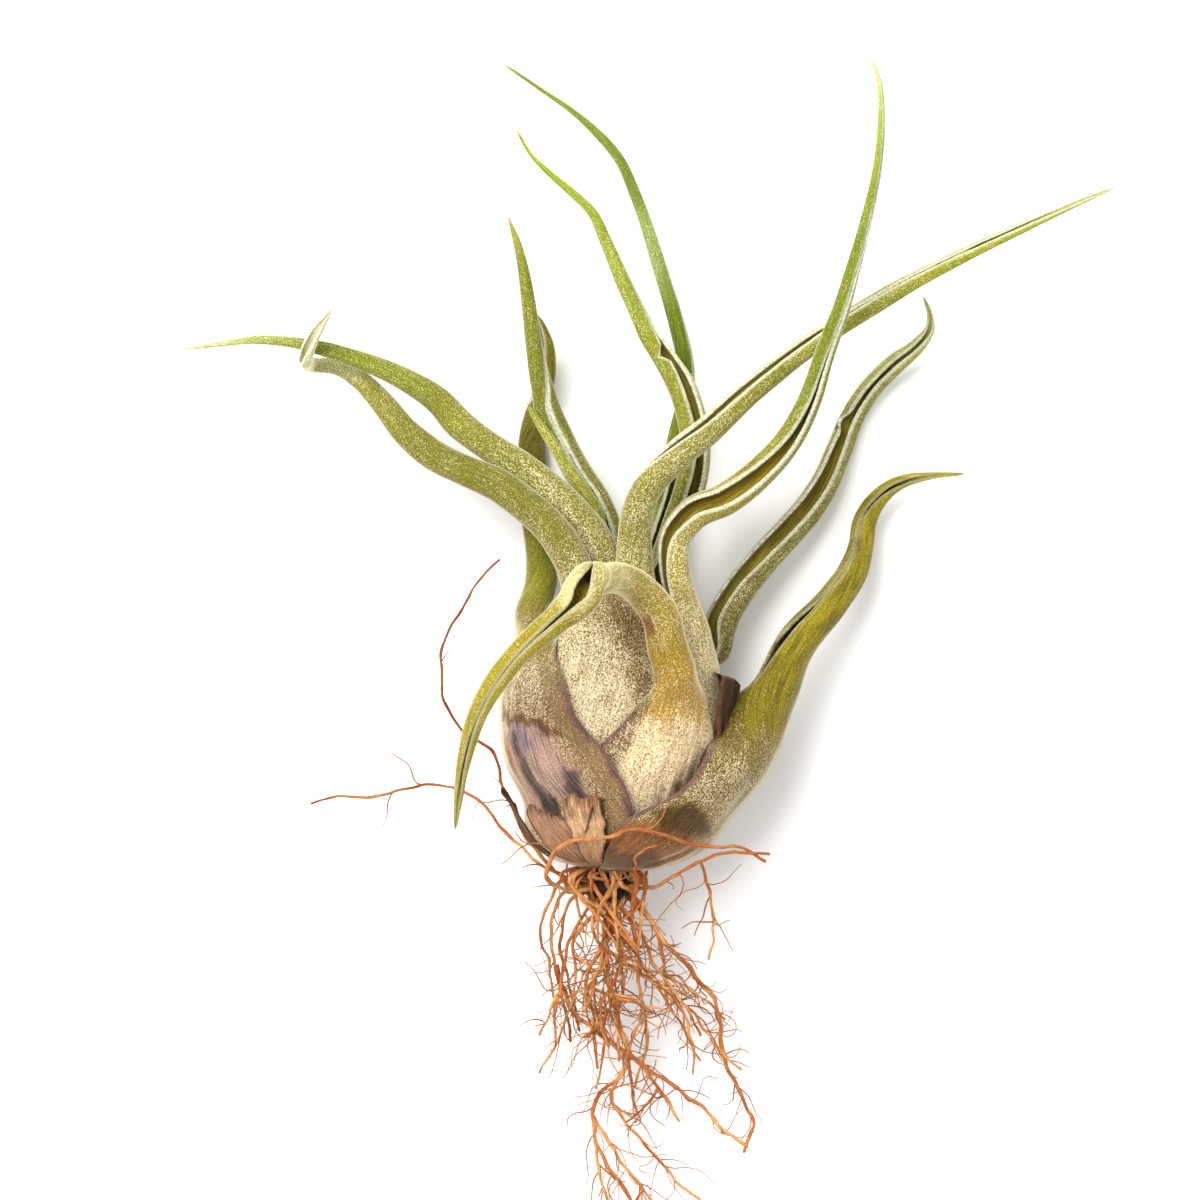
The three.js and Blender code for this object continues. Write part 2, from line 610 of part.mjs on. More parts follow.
// Roots followed one by one: thickness from the middle to the skin, then points from the crown outwards.
const rootRoutes = [
  {
    part: "across the front",
    radius: 0.5,
    route: [
      [-3, -25.2, 24], [-9, -25.8, 26], [-12.7, -24, 30], [-13.2, -20.2, 34.5],
      [-11.8, -17, 38.2], [-7.9, -14.9, 41.8], [-3, -14.2, 44.2], [4.8, -13, 44.6],
      [9.2, -13.8, 43], [14.6, -16, 38.6], [19.6, -16.6, 35.5], [24.6, -16.9, 33.5],
      [29.6, -19.4, 31],
    ],
  },
  {
    part: "second to the right",
    radius: 0.45,
    route: [
      [1, -25.4, 24], [6.9, -25.2, 26.5], [11.8, -22.3, 31], [16.7, -19.4, 33.5],
      [24.6, -17.9, 33.2], [30.6, -18.3, 32],
    ],
  },
  {
    part: "short curl",
    radius: 0.4,
    route: [
      [2, -25.1, 25], [4.5, -24.5, 28], [3.9, -21.2, 34.5], [4.2, -18.5, 39.6],
      [5.8, -16.8, 42.2], [8.3, -16.2, 42.4],
    ],
  },
  {
    part: "left strand, outer",
    radius: 0.4,
    route: [
      [-3, -24.8, 23], [-8, -23.7, 25], [-10.9, -24.2, 26], [-14, -30.8, 23], [-15, -35, 20],
      [-13.4, -39.8, 17], [-13.1, -44.5, 14], [-12.1, -49.7, 12],
    ],
  },
  {
    part: "left strand, middle",
    radius: 0.45,
    route: [
      [-3, -25.9, 22], [-9, -25.2, 24], [-12.4, -30.3, 22], [-13, -36.1, 18.5],
      [-11.8, -41.4, 15.5], [-10.1, -50.7, 12], [-8.7, -56.9, 10],
    ],
  },
  {
    part: "left strand, inner",
    radius: 0.4,
    route: [
      [-3, -25.9, 21], [-8, -26.9, 22], [-10.4, -33, 19.5], [-11, -38.2, 17.5], [-9, -45.5, 14],
      [-7, -54.9, 10.5],
    ],
  },
  {
    part: "up the left side",
    radius: 0.4,
    route: [
      [-3, -25.6, 20], [-10, -23.5, 17.5], [-17.5, -16.3, 13.5], [-21.5, -8.3, 13],
      [-25.2, 1.8, 12.5], [-31.2, 6.2, 13.5], [-34.2, 10.9, 15], [-35.1, 15.9, 16],
      [-34.1, 24, 18], [-29, 33, 20], [-26, 37, 20.6], [-23, 40, 21],
    ],
  },
  {
    part: "out to the left",
    radius: 0.4,
    route: [
      [-2, -25.4, 20.5], [-5, -25.5, 18], [-11, -23.3, 15.5], [-17.1, -19.8, 12],
      [-23.2, -13.5, 9], [-28.3, -8.5, 7.5], [-35.5, -5.6, 6], [-41.6, -6, 5], [-47.8, -7.7, 4],
      [-56, -8.1, 3], [-62.1, -9.4, 2],
    ],
  },
  {
    part: "main strand",
    radius: 0.6,
    route: [
      [-1, -25.8, 23], [-2, -33, 20], [-1.6, -38.2, 18], [-2, -43.3, 16], [-0.6, -48.5, 14],
      [1.4, -54.7, 12], [2.5, -58.9, 11], [1, -64.1, 9], [-3, -68.3, 8], [-4.4, -72.4, 7],
      [-4, -77.6, 6], [-2, -81.8, 5], [3.1, -90.1, 4], [5.1, -93.2, 3.5],
    ],
  },
  {
    part: "long right strand",
    radius: 0.55,
    route: [
      [1, -25.8, 23], [3.6, -27.4, 22.5], [6, -31, 20], [10.4, -36.8, 17.5], [15.1, -42.4, 15],
      [20.2, -48.7, 12], [21.7, -59.1, 9], [24.4, -66.4, 7], [27.9, -74.6, 6], [26.6, -79.7, 6],
    ],
  },
  {
    part: "slanting strand",
    radius: 0.55,
    route: [
      [-11.8, -41.4, 15.5], [-10.7, -46.5, 13.6], [-7.4, -51.7, 12.4], [0, -57.8, 11.6],
      [10.2, -65.1, 9], [19.3, -72.4, 7.5], [26.4, -79.2, 6.4],
    ],
  },
  {
    part: "right fan, first",
    radius: 0.35,
    route: [
      [-2, -33, 20], [3, -37.5, 18], [8.1, -45.4, 15], [15.2, -56.9, 11], [17.2, -61, 10],
    ],
  },
  {
    part: "right fan, second",
    radius: 0.35,
    route: [
      [-1.6, -38.2, 18], [6, -43.9, 16], [13.1, -48.6, 13.5], [18.2, -54.8, 11],
      [22.3, -61, 9.5],
    ],
  },
  {
    part: "right fan, third",
    radius: 0.35,
    route: [
      [-1.6, -38.2, 18], [5, -41.2, 17], [12.1, -44.4, 15], [17.2, -47.6, 13],
      [22.2, -52.8, 11],
    ],
  },
  {
    part: "hanging from the second",
    radius: 0.35,
    route: [
      [16.7, -19.4, 33.5], [18.2, -23.4, 30], [19.3, -29.6, 26], [19.7, -34.8, 22.5],
      [19, -40, 20],
    ],
  },
  {
    part: "orange side strand",
    radius: 0.45,
    route: [
      [2.5, -58.9, 11], [6.1, -63, 10], [9.8, -68.2, 8.4], [13.2, -73.9, 7],
    ],
  },
  {
    part: "short side strand",
    radius: 0.35,
    route: [
      [2.5, -58.9, 11], [3.3, -65.1, 9.6], [4.3, -71.9, 8],
    ],
  },
  {
    part: "lower fan, right",
    radius: 0.4,
    route: [
      [1, -64.1, 9], [-1, -68.2, 8.4], [2.1, -73.5, 7], [7.2, -79.7, 6], [12.2, -85.5, 5],
      [17.3, -90.1, 4],
    ],
  },
  {
    part: "lower fan, middle",
    radius: 0.4,
    route: [
      [-4.4, -72.4, 7], [-1.6, -77.6, 6.4], [2.1, -82.8, 5.5], [9.2, -92.2, 3.5],
    ],
  },
  {
    part: "lower fan, left",
    radius: 0.4,
    route: [
      [-4, -77.6, 6], [-3.4, -81.8, 5], [-3, -85.9, 4.5], [-0.6, -93.2, 3.5],
    ],
  },
];

// Torn dry bracts round the base: height y, outer radius, azimuth of the middle, half angle.
const bracts = [
  {
    name: "bract_brown",
    across: 6,
    torn: [0.6, 0.4, -0.3, -0.7, -1.2, -1.6, -1.9],
    rows: [
      [-19.9, 11.2, -26, 19],
      [-18.4, 14.7, -28, 19],
      [-16, 17.6, -31, 18],
      [-12.5, 19.6, -35, 17],
      [-9, 20.4, -40, 14],
    ],
  },
  {
    name: "bract_pale",
    across: 4,
    torn: [-0.6, 0.6, -0.2, 0.5, -0.5],
    rows: [
      [-20.2, 12.0, -14, 7],
      [-18.4, 15.8, -13.5, 7],
      [-15.6, 19.0, -13, 8.5],
      [-11.5, 21.0, -16.5, 10.5],
      [-6.4, 22.7, -17, 10],
    ],
  },
  {
    name: "bract_strip_long",
    across: 2,
    torn: [0, 1.6, 0.6],
    rows: [
      [-18.8, 13.6, -60, 4],
      [-16, 17.1, -66, 4],
      [-12, 19.1, -70, 3.4],
      [-9, 20.6, -72, 2.6],
      [-6.6, 22.8, -73, 1.8],
    ],
  },
  {
    name: "bract_strip_short",
    across: 2,
    torn: [0.6, 2.0, 0],
    rows: [
      [-19.2, 12.7, -80, 5],
      [-16.6, 15.9, -84, 4.6],
      [-13.4, 18.2, -87, 3.6],
      [-10.2, 19.4, -88, 2.4],
    ],
  },
];

function bractGeometry({ rows, across, torn }) {
  const last = rows.length - 1;
  const sheet = (inset) =>
    rows.map(([y, radius, azimuth, half], i) =>
      Array.from({ length: across + 1 }, (_, j) => {
        const outward = azimuthVector(azimuth + half * ((2 * j) / across - 1));
        const height = y + (i === last ? torn[j] : 0);
        return new THREE.Vector3(bulbAxis.x, height, bulbAxis.z).addScaledVector(outward, radius - inset);
      })
    );
  return shellGeometry(sheet(0), sheet(bractThickness));
}

// A tapering round body along the stem's line, from rows of height and radius.
function turnedGeometry(profile, sides, lump) {
  const rings = profile.map(([y, radius], i) =>
    Array.from({ length: sides }, (_, j) => {
      const swell = 1 + lump * Math.sin(i * 2.3 + j * 2.1);
      const outward = azimuthVector((360 * j) / sides);
      return new THREE.Vector3(bulbAxis.x, y, bulbAxis.z).addScaledVector(outward, radius * swell);
    })
  );
  return ringedGeometry(rings);
}

function ringedGeometry(rings) {
  const faces = [];
  const sides = rings[0].length;
  for (let i = 0; i < rings.length - 1; i++) {
    for (let j = 0; j < sides; j++) {
      const k = (j + 1) % sides;
      faces.push([rings[i][j], rings[i + 1][k], rings[i][k]]);
      faces.push([rings[i][j], rings[i + 1][j], rings[i + 1][k]]);
    }
  }
  for (let j = 1; j < sides - 1; j++) {
    faces.push([rings[0][0], rings[0][j], rings[0][j + 1]]);
    faces.push([rings.at(-1)[0], rings.at(-1)[j + 1], rings.at(-1)[j]]);
  }
  return faceted(faces);
}

function rootGeometry(points, radius, sides, spacing) {
  const curve = new THREE.CatmullRomCurve3(points, false, "centripetal");
  const count = Math.max(2, Math.round(curve.getLength() / spacing));
  let side = new THREE.Vector3(1, 0.2, 0.1);
  const rings = [];
  for (let i = 0; i <= count; i++) {
    const t = i / count;
    const centre = curve.getPointAt(t);
    const ahead = curve.getTangentAt(t);
    side = side.addScaledVector(ahead, -side.dot(ahead)).normalize();
    const other = ahead.clone().cross(side);
    const size = Math.max(finestRoot, radius * (1 - 0.35 * t));
    rings.push(
      Array.from({ length: sides }, (_, j) => {
        const turn = (-2 * Math.PI * j) / sides;
        return centre
          .clone()
          .addScaledVector(side, Math.cos(turn) * size)
          .addScaledVector(other, Math.sin(turn) * size);
      })
    );
    side = side.clone();
  }
  return ringedGeometry(rings);
}

function solidOf(geometry) {
  const bare = geometry.clone();
  bare.deleteAttribute("normal");
  bare.deleteAttribute("uv");
  const merged = mergeVertices(bare, 1e-4);
  const mesh = new wasm.Mesh({
    numProp: 3,
    vertProperties: merged.attributes.position.array,
    triVerts: new Uint32Array(merged.index.array),
  });
  return new wasm.Manifold(mesh);
}

function geometryOf(solid) {
  const mesh = solid.getMesh();
  const geometry = new THREE.BufferGeometry();
  const positions = new Float32Array(mesh.triVerts.length * 3);
  for (let i = 0; i < mesh.triVerts.length; i++) {
    for (let k = 0; k < 3; k++) {
      positions[i * 3 + k] = mesh.vertProperties[mesh.triVerts[i] * mesh.numProp + k];
    }
  }
  geometry.setAttribute("position", new THREE.BufferAttribute(positions, 3));
  return geometry;
}

// The same tangle every time: a small counter-based random source.
let state = 20731;
function chance() {
  state = (state * 1664525 + 1013904223) % 4294967296;
  return state / 4294967296;
}
const between = (low, high) => low + (high - low) * chance();

function rootTangle() {
  const crown = turnedGeometry(
    [
      [-22.7, 3.6],
      [-24.0, crownRadius],
      [-26.2, crownRadius * 0.9],
      [-27.6, crownRadius * 0.55],
    ],
    9,
    0.09
  );
  const pieces = [solidOf(crown)];
  const curves = [];
  for (const { radius, route } of rootRoutes) {
    const points = route.map((p) => new THREE.Vector3(...p));
    curves.push(new THREE.CatmullRomCurve3(points, false, "centripetal"));
    pieces.push(solidOf(rootGeometry(points, radius, 4, 5)));
  }
  for (let i = 0; i < fillerRoots; i++) {
    const x = between(-14, 16);
    const length = between(22, 44);
    const start = new THREE.Vector3(between(-3, 2), -26.4, between(20, 25));
    const points = [start];
    for (const t of [0.25, 0.5, 0.75, 1]) {
      const height = 22 - 13 * Math.min(1, (length * t) / 44);
      points.push(
        new THREE.Vector3(
          start.x + (x - start.x) * Math.sqrt(t) + between(-2.4, 2.4),
          -26 - length * t,
          height + between(-2.5, 2.5)
        )
      );
    }
    curves.push(new THREE.CatmullRomCurve3(points, false, "centripetal"));
    pieces.push(solidOf(rootGeometry(points, between(0.36, 0.46), 3, 6)));
  }
  for (let i = 0; i < sideRoots; i++) {
    const curve = curves[8 + Math.floor(chance() * (curves.length - 8))];
    const start = curve.getPointAt(between(0.35, 0.85));
    const reach = between(5, 12);
    const lean = between(-1.3, 1.3);
    const points = [start];
    for (const t of [0.5, 1]) {
      points.push(
        new THREE.Vector3(
          start.x + Math.sin(lean) * reach * t + between(-1, 1),
          start.y - Math.cos(lean) * reach * t,
          Math.max(1, start.z + between(-2, 2) * t)
        )
      );
    }
    pieces.push(solidOf(rootGeometry(points, finestRoot, 3, 4)));
  }
  const bodies = wasm.Manifold.union(pieces).decompose();
  return geometryOf(bodies.sort((a, b) => b.volume() - a.volume())[0]);
}

function coloured(name, geometry, color, roughness) {
  const material = new THREE.MeshStandardMaterial({ color, roughness, metalness: 0 });
  const mesh = new THREE.Mesh(geometry, material);
  mesh.name = name;
  geometry.translate(-seatCentre.x, -seatCentre.y, 0);
  geometry.computeVertexNormals();
  return mesh;
}

const plant = new THREE.Group();
plant.name = "air_plant";
for (const leaf of leaves) {
  let geometry = leafGeometry(leaf);
  if (leaf.name === seatedLeaf) geometry = geometryOf(solidOf(geometry).trimByPlane([0, 0, 1], 0));
  plant.add(coloured(leaf.name, geometry, leafColours[leaf.name], 0.9));
}
for (const bract of bracts) {
  plant.add(coloured(bract.name, bractGeometry(bract), bractColours[bract.name], 0.95));
}
plant.add(coloured("stem", turnedGeometry(stemProfile.slice().reverse(), 10, 0), 0x6b4a2c, 0.9));
plant.add(coloured("roots", rootTangle(), 0xb07a45, 0.9));

export default plant;
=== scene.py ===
"""A medusa's head air plant lying on its side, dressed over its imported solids.

Lengths in the tables are millimetres, in the frame of the routes: +Y runs along the bulb from the
roots to the leaf tips and +Z is up. Everything is moved by SEAT and scaled by MM when it is made.
"""
import json
import math
from collections import namedtuple

import bpy
import numpy as np
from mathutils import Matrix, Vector

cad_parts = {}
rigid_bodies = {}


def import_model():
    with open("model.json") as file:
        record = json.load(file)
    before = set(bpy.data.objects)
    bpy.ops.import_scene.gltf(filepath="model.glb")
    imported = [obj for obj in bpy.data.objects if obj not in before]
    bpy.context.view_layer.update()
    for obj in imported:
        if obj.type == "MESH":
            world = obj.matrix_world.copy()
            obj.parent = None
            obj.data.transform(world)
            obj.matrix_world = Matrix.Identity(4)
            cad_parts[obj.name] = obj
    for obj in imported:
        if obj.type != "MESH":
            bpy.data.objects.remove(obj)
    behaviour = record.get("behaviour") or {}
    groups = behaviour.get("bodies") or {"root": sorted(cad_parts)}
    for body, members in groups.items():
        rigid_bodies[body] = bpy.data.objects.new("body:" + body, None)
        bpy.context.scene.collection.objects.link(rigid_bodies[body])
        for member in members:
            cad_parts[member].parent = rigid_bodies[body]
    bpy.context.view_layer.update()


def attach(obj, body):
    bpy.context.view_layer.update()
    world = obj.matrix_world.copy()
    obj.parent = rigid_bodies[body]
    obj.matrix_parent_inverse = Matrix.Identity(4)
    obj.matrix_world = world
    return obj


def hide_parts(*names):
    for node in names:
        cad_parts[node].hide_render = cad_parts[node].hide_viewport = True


bl_info = {
    "name": "Medusa's head air plant",
    "version": (1, 0, 0),
    "blender": (4, 5, 0),
    "location": "View3D > Sidebar > Air plant",
    "description": "Leaves, silver scales, bracts and roots of an air plant over its packed solids",
    "category": "Add Mesh",
}

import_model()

MM = 0.001
SEAT = np.array((2.0, -5.0, 0.0))  # from the routes' frame to the flat spot
BULB_AXIS = (-0.8, 22.0)  # x and z of the stem's line

# The camera looks straight down: its height, the height where lengths are true, the point below it
# and the width of the picture there
EYE_HEIGHT = 950.0
MIDDLE_HEIGHT = 20.0
EYE_OVER = (-3.0, 32.0)
PICTURE_WIDTH = 240.0
SENSOR_WIDTH = 36.0

# Leaves, as in the solids
SEAT_GAP = 0.3
SHEATH_THICKNESS = 1.0
SHEATH_EDGE = 0.7
BLADE_THICKNESS = 1.5
BLADE_EDGE = 0.8
BLADE_DEPTH = 0.86
KEEL_REACH = 6.5
PRESSED_WALL = 0.85  # thickness left where the lowest sheath is pressed flat
BOWL_TURNS = (12, 38, 64)  # degrees round the bowl at a sheath's foot
BOWL_WRAP = 6
SEATED_LEAF = "leaf_left_outer"
STEM_PROFILE = (
    (-22.6, 3.8), (-21.4, 5.2), (-18.6, 5.8), (-12, 5.4), (-5, 4.2), (1, 2.8), (4, 1.4),
)

# Finer than in the solids. Layers of unevenness are height, size across and size along.
SHEATH_ACROSS = 72  # steps over a sheath's skin; a blade has half as many
SHEATH_ROWS = 0.9  # spacing of a sheath's rows against a blade's
SHEATH_RELIEF = ((0.12, 1.25, 11), (0.16, 3.1, 17))
BLADE_RELIEF = ((0.06, 1.1, 22),)
LEAF_RELIEF = ((0.10, 4, 7),)
MARGIN_WAVES = ((0.10, 5.0, 3.3), (0.05, 1.7, 9.1))  # height, length, place in the noise
PLAIN_RIDGES = (2.0, 0.1)  # spacing and height of the creases of a leaf not in RIDGES
DEEPEST_DENT = 0.3
LINING_COVER = 0.16  # cover of silver scales inside a rolled blade
# The white fringe is partly the margins' denser scales, partly painted rim light
FRINGE_AND_RIM_LIGHT_WIDTH = 0.22  # of the white fringe along the margins
RIM_WIDTH = 0.4  # of the paler rim inside a rolled blade
HAIR_SINK = 0.04  # how deep a hair's foot sits in the leaf
LEAF_SEEDS = (11, 7)  # seed of the first leaf, and how far apart the leaves' seeds are
HAIR_SEED = 400  # added to a leaf's own seed

# Each leaf: where its sheath leaves the stem, then the sheath's rows of height y, outer radius,
# shift outwards, azimuth, half angle and keel, then the blade's rows of x, y, z, width, roll of the
# channel and half angle. Azimuth 0 faces up and 90 faces +X.
LEAVES = {
    "leaf_right_low": {"base": -22.2, "sheath": [
        (-12, 20.6, 3, 95, 98, 0), (-5, 19.2, 10.5, 95, 84, 0), (1.5, 15.5, 18, 96, 93, 0),
        (8, 9, 27, 97, 136, 0),
    ], "blade": [
        (32.1, 14.5, 18.5, 11.6, 86, 146), (36.6, 23.5, 16.5, 8.8, 54, 160),
        (43.9, 31.8, 13, 7.3, 43, 172), (48.3, 38.1, 10, 6.3, 38, 172),
        (50, 43.4, 7.5, 5.4, 35, 170), (50.6, 47.4, 6.2, 5, 27, 168),
        (52.3, 51.1, 6.4, 4.3, 14, 166), (55.2, 54.3, 8, 3.4, -2, 160),
        (58.7, 56.1, 10, 2.5, -14, 148), (62.1, 56.8, 12, 1.8, -18, 136),
        (65.9, 57.2, 14, 1.2, -20, 126), (70.3, 57.3, 16, 0.7, -20, 120),
    ]},
    "leaf_left_outer": {"base": -20.9, "sheath": [
        (-9, 19.4, -2.4, -97, 101, 0), (0, 22.9, -1.8, -98, 94, 0), (9, 22.9, -0.7, -102, 82, 0),
        (16, 21.9, -0.1, -98, 72, 0), (22, 20, -0.3, -93, 57, 0),
    ], "blade": [
        (-16.5, 29.6, 15.6, 8.2, -108, 112), (-14.9, 36, 11.6, 6.8, -145, 156),
        (-14.9, 41.1, 8.8, 6.3, -165, 160), (-15.6, 46.2, 6.2, 6.1, 180, 160),
        (-16.4, 52.3, 3.9, 6.1, 180, 160), (-16.8, 60.5, 2.6, 5.9, 180, 158),
        (-16.2, 69.5, 2.8, 5.3, 110, 150), (-15, 73.7, 3.9, 4.9, 70, 148),
        (-14.1, 78.7, 5.4, 4.5, 50, 145), (-14.1, 83.7, 7.5, 3.6, 40, 142),
        (-15.3, 87.6, 9.6, 2.4, 30, 135), (-16.1, 90.1, 11.5, 0.9, 20, 125),
    ]},
    "leaf_front_bowed": {"base": -19.4, "sheath": [
        (-9, 16.2, 0.6, 31, 60, 0.6), (0, 19.5, 1.1, 31, 47, 1), (6, 21, 1.1, 34, 34, 0.9),
        (11, 21.2, 1, 36, 24, 0.9),
    ], "blade": [
        (11.5, 17.5, 40.4, 9.2, 150, 96), (10.1, 23, 42.4, 8, 165, 140),
        (8.4, 29.5, 45.4, 7.4, 180, 156), (4.9, 33.9, 49, 6.8, -175, 160),
        (0.3, 36.2, 56, 6.2, -165, 160), (-3.4, 36, 61.5, 6.8, -120, 170),
        (-5.2, 35.6, 65, 7.4, -34, 166), (-6.4, 33.6, 66.4, 7.8, -8, 150),
        (-8.2, 31, 67.4, 6.8, -4, 160), (-11.3, 28.2, 68, 5.4, -2, 164),
        (-18.2, 22.1, 67.5, 4.8, 5, 168), (-23.6, 15.3, 65, 4.4, 10, 168),
        (-27.1, 8.3, 61, 3.7, 10, 166), (-29.1, 1.3, 57, 2.9, 8, 160),
        (-30.4, -6.6, 52, 1.7, 5, 148), (-31.1, -12.6, 48, 0.8, 0, 132),
    ]},
    "leaf_right_tall": {"base": -17.9, "sheath": [
        (-9, 14.4, 0.3, 84, 46, 0), (0, 17.7, 0.5, 84, 48, 0.6), (9, 20, 0.8, 84, 44, 2),
        (16, 19.6, 1, 76, 29, 1.7),
    ], "blade": [
        (15.2, 24.6, 27.6, 9.1, 96, 100), (13.4, 31, 29.4, 7.9, 84, 130),
        (11.8, 37.9, 30.6, 6.9, 64, 148), (11.8, 44.1, 31, 6.7, 44, 146),
        (15, 48.7, 31, 6.7, 26, 142), (21.5, 51.8, 31.4, 6.5, 12, 141),
        (28.7, 57.3, 32.6, 6, -4, 142), (34.2, 63.5, 34, 5.5, -14, 150),
        (37.9, 70.6, 35.6, 4.9, -22, 158), (40.8, 79.5, 37.4, 4.2, -28, 164),
        (44, 88.3, 39, 3.8, -34, 166), (46.6, 97, 40.5, 3.1, -42, 166),
        (48.9, 105.8, 42, 2.6, -50, 164), (50.8, 114.6, 43.4, 2.2, -58, 158),
        (51.7, 123.3, 44.8, 1.8, -64, 148), (51.4, 132, 46.2, 1.3, -68, 136),
        (49.8, 137.8, 47.2, 0.7, -70, 122),
    ]},
    "leaf_front_kinked": {"base": -17.9, "sheath": [
        (-9, 15.2, 0, -26, 50, 0), (0, 18.5, 0, -24, 50, 0.2), (10, 19.9, 0.3, -12, 44, 0.4),
        (20, 18.2, 0.6, -4, 33, 0.2), (28, 15.4, 0.8, -8, 32, 0.2),
    ], "blade": [
        (-6.5, 34.4, 34.8, 8.3, 188, 95), (-8.7, 39.9, 33.6, 7.1, 190, 140),
        (-11.8, 45, 33, 6.8, 186, 155), (-17.4, 50.5, 32, 6.7, 180, 158),
        (-23.1, 54.7, 30.4, 6.5, 176, 158), (-30.5, 58, 28, 6.1, 172, 158),
        (-36.1, 60.8, 25, 6.2, 168, 158), (-41.4, 65.2, 23.2, 5.8, 165, 158),
        (-46.5, 71.3, 20.8, 4.9, 165, 158), (-51.5, 76.4, 18.6, 4, 165, 156),
        (-56.8, 79.1, 17.2, 3.4, 165, 152), (-60.5, 79.1, 18.6, 3.1, 150, 148),
        (-61.7, 79.2, 22.6, 3.1, 110, 142), (-61.4, 80, 27.6, 3.4, 60, 130),
        (-60.2, 82.8, 30.6, 2.9, 30, 124), (-58.3, 85.9, 32.4, 2.0, 20, 122),
        (-55.7, 89.2, 35.6, 0.8, 0, 120),
    ]},
    "leaf_left_upright": {"base": -19.4, "sheath": [
        (-9, 15.2, 0, -141, 50, 0), (0, 19.2, 0, -140, 50, 0), (12, 19.2, 0, -140, 42, 0),
        (20, 17.2, 0, -142, 33, 0),
    ], "blade": [
        (-5, 31, 16.2, 8.2, 24, 100), (-2.6, 38.5, 16.6, 7.4, 12, 136),
        (-1.6, 45, 17.6, 6.4, 0, 152), (-3.6, 51.4, 18, 5.8, -5, 164),
        (-7.4, 57.5, 17.8, 5.8, -8, 170), (-10.9, 64.1, 17.6, 5.7, -8, 170),
        (-13.8, 70.9, 17.6, 5.2, -12, 170), (-15, 76.1, 18, 4.6, -50, 170),
        (-16.2, 83.1, 19, 4, -84, 170), (-17.1, 90, 20.4, 3.5, -96, 166),
        (-18.1, 96.8, 22.4, 2.9, -100, 156), (-19.5, 103.2, 25, 2.1, -100, 140),
        (-21.2, 108.3, 28, 0.7, -100, 120),
    ]},
    "leaf_right_hooked": {"base": -16.4, "sheath": [
        (-9, 12.7, 0, 124, 56, 0), (0, 15.9, 0, 124, 50, 0), (9, 17, 0.2, 125, 42, 0),
        (15, 15.2, 1.6, 128, 29, 0),
    ], "blade": [
        (19.6, 21.9, 13.2, 8.5, 66, 98), (21.6, 28, 13.2, 7.5, 60, 135),
        (25.2, 34.2, 12, 7, 48, 142), (29.9, 40.1, 10.8, 6.7, 36, 140),
        (35, 45.6, 9, 6.5, 28, 140), (39.6, 50.9, 7, 6.3, 22, 141),
        (43.1, 56.4, 5.2, 5.9, 18, 143), (45.9, 63, 2.8, 5.5, 12, 146),
        (48.3, 69.1, 2.3, 4.9, 4, 154), (51.7, 74.6, 3.2, 4.6, 0, 156),
        (56.8, 79.9, 5.4, 4.2, 0, 155), (61.3, 83.6, 8.6, 3.2, 0, 150),
        (63.6, 87.1, 12, 2, 0, 138), (63.2, 90.1, 14.6, 1.2, 0, 128), (61.8, 93, 17, 0.7, 0, 120),
    ]},
    "leaf_back_tall": {"base": -14.9, "sheath": [
        (-9, 11.2, 0, 172, 60, 0), (0, 14.4, 0, 172, 56, 0), (12, 15.2, 0, 168, 44, 0),
        (20, 14.2, 0, 154, 30, 0),
    ], "blade": [
        (5.3, 30, 11.4, 8.1, 20, 100), (7.1, 38.1, 10.2, 6.5, 8, 138),
        (9.3, 48.2, 9.4, 5.5, -18, 148), (11.2, 57.3, 9, 4.9, -38, 150),
        (12.8, 65.4, 9, 4.5, -56, 152), (14.4, 74.5, 9.8, 4.2, -70, 154),
        (14.1, 80.5, 10.4, 4.1, -78, 155), (12.3, 88.5, 11.2, 3.8, -84, 155),
        (9.9, 96.5, 12.4, 3.6, -88, 155), (7.4, 104.5, 13.6, 3.2, -92, 154),
        (4.1, 113.7, 15, 2.8, -94, 152), (0.9, 120.5, 16.4, 2.6, -96, 148),
        (-4.5, 126.5, 18.2, 2.1, -98, 143), (-9.4, 130.4, 19.8, 1.6, -100, 136),
        (-15.4, 134.4, 21.4, 1.1, -100, 128), (-22.1, 138.9, 23, 0.7, -100, 120),
    ]},
    "leaf_right_long": {"base": -14.9, "sheath": [
        (-9, 11.6, 0, 16, 58, 0), (0, 14.9, 0, 16, 54, 0), (12, 16, 0, 16, 46, 0),
        (23, 14.2, 0.2, 14, 36, 0),
    ], "blade": [
        (4.1, 32, 31.6, 8.9, 174, 100), (3.9, 38.4, 33.2, 7.7, 162, 140),
        (3.9, 45.8, 34.8, 7.2, 138, 156), (5.1, 51.5, 35.6, 7.2, 108, 162),
        (8.2, 56.5, 36, 6.9, 74, 163), (12.7, 60.9, 35.8, 6.5, 58, 157),
        (18.4, 65.5, 34.8, 6.1, 48, 154), (24.6, 71.3, 33.4, 5.7, 44, 152),
        (31.8, 77.4, 31.2, 5.1, 42, 152), (39.2, 82.9, 29, 4.8, 42, 154),
        (44.6, 86.5, 28, 4.5, 40, 163), (50.1, 89.9, 27.6, 4.3, 38, 164),
        (58.9, 95.1, 28.2, 3.7, 38, 164), (67.9, 99.7, 29.6, 3.1, 34, 160),
        (76.7, 103.8, 31.4, 2.5, 32, 154), (85.7, 107.8, 33.6, 1.8, 30, 146),
        (92.4, 110.7, 35.4, 1.2, 30, 136), (98.1, 113, 37, 0.7, 30, 124),
    ]},
    "leaf_back_inner": {"base": -13.4, "sheath": [
        (-9, 9.7, 0, 176, 58, 0), (0, 12.9, 0, 176, 54, 0), (12, 13.4, 0, 168, 42, 0),
        (21, 11, 0, 150, 28, 0),
    ], "blade": [
        (7.4, 31, 18.6, 8.2, 10, 100), (10, 38.5, 19.8, 7, 5, 138),
        (12.2, 46, 20.6, 6.4, -10, 146), (14.6, 53, 21.2, 6.3, -22, 149),
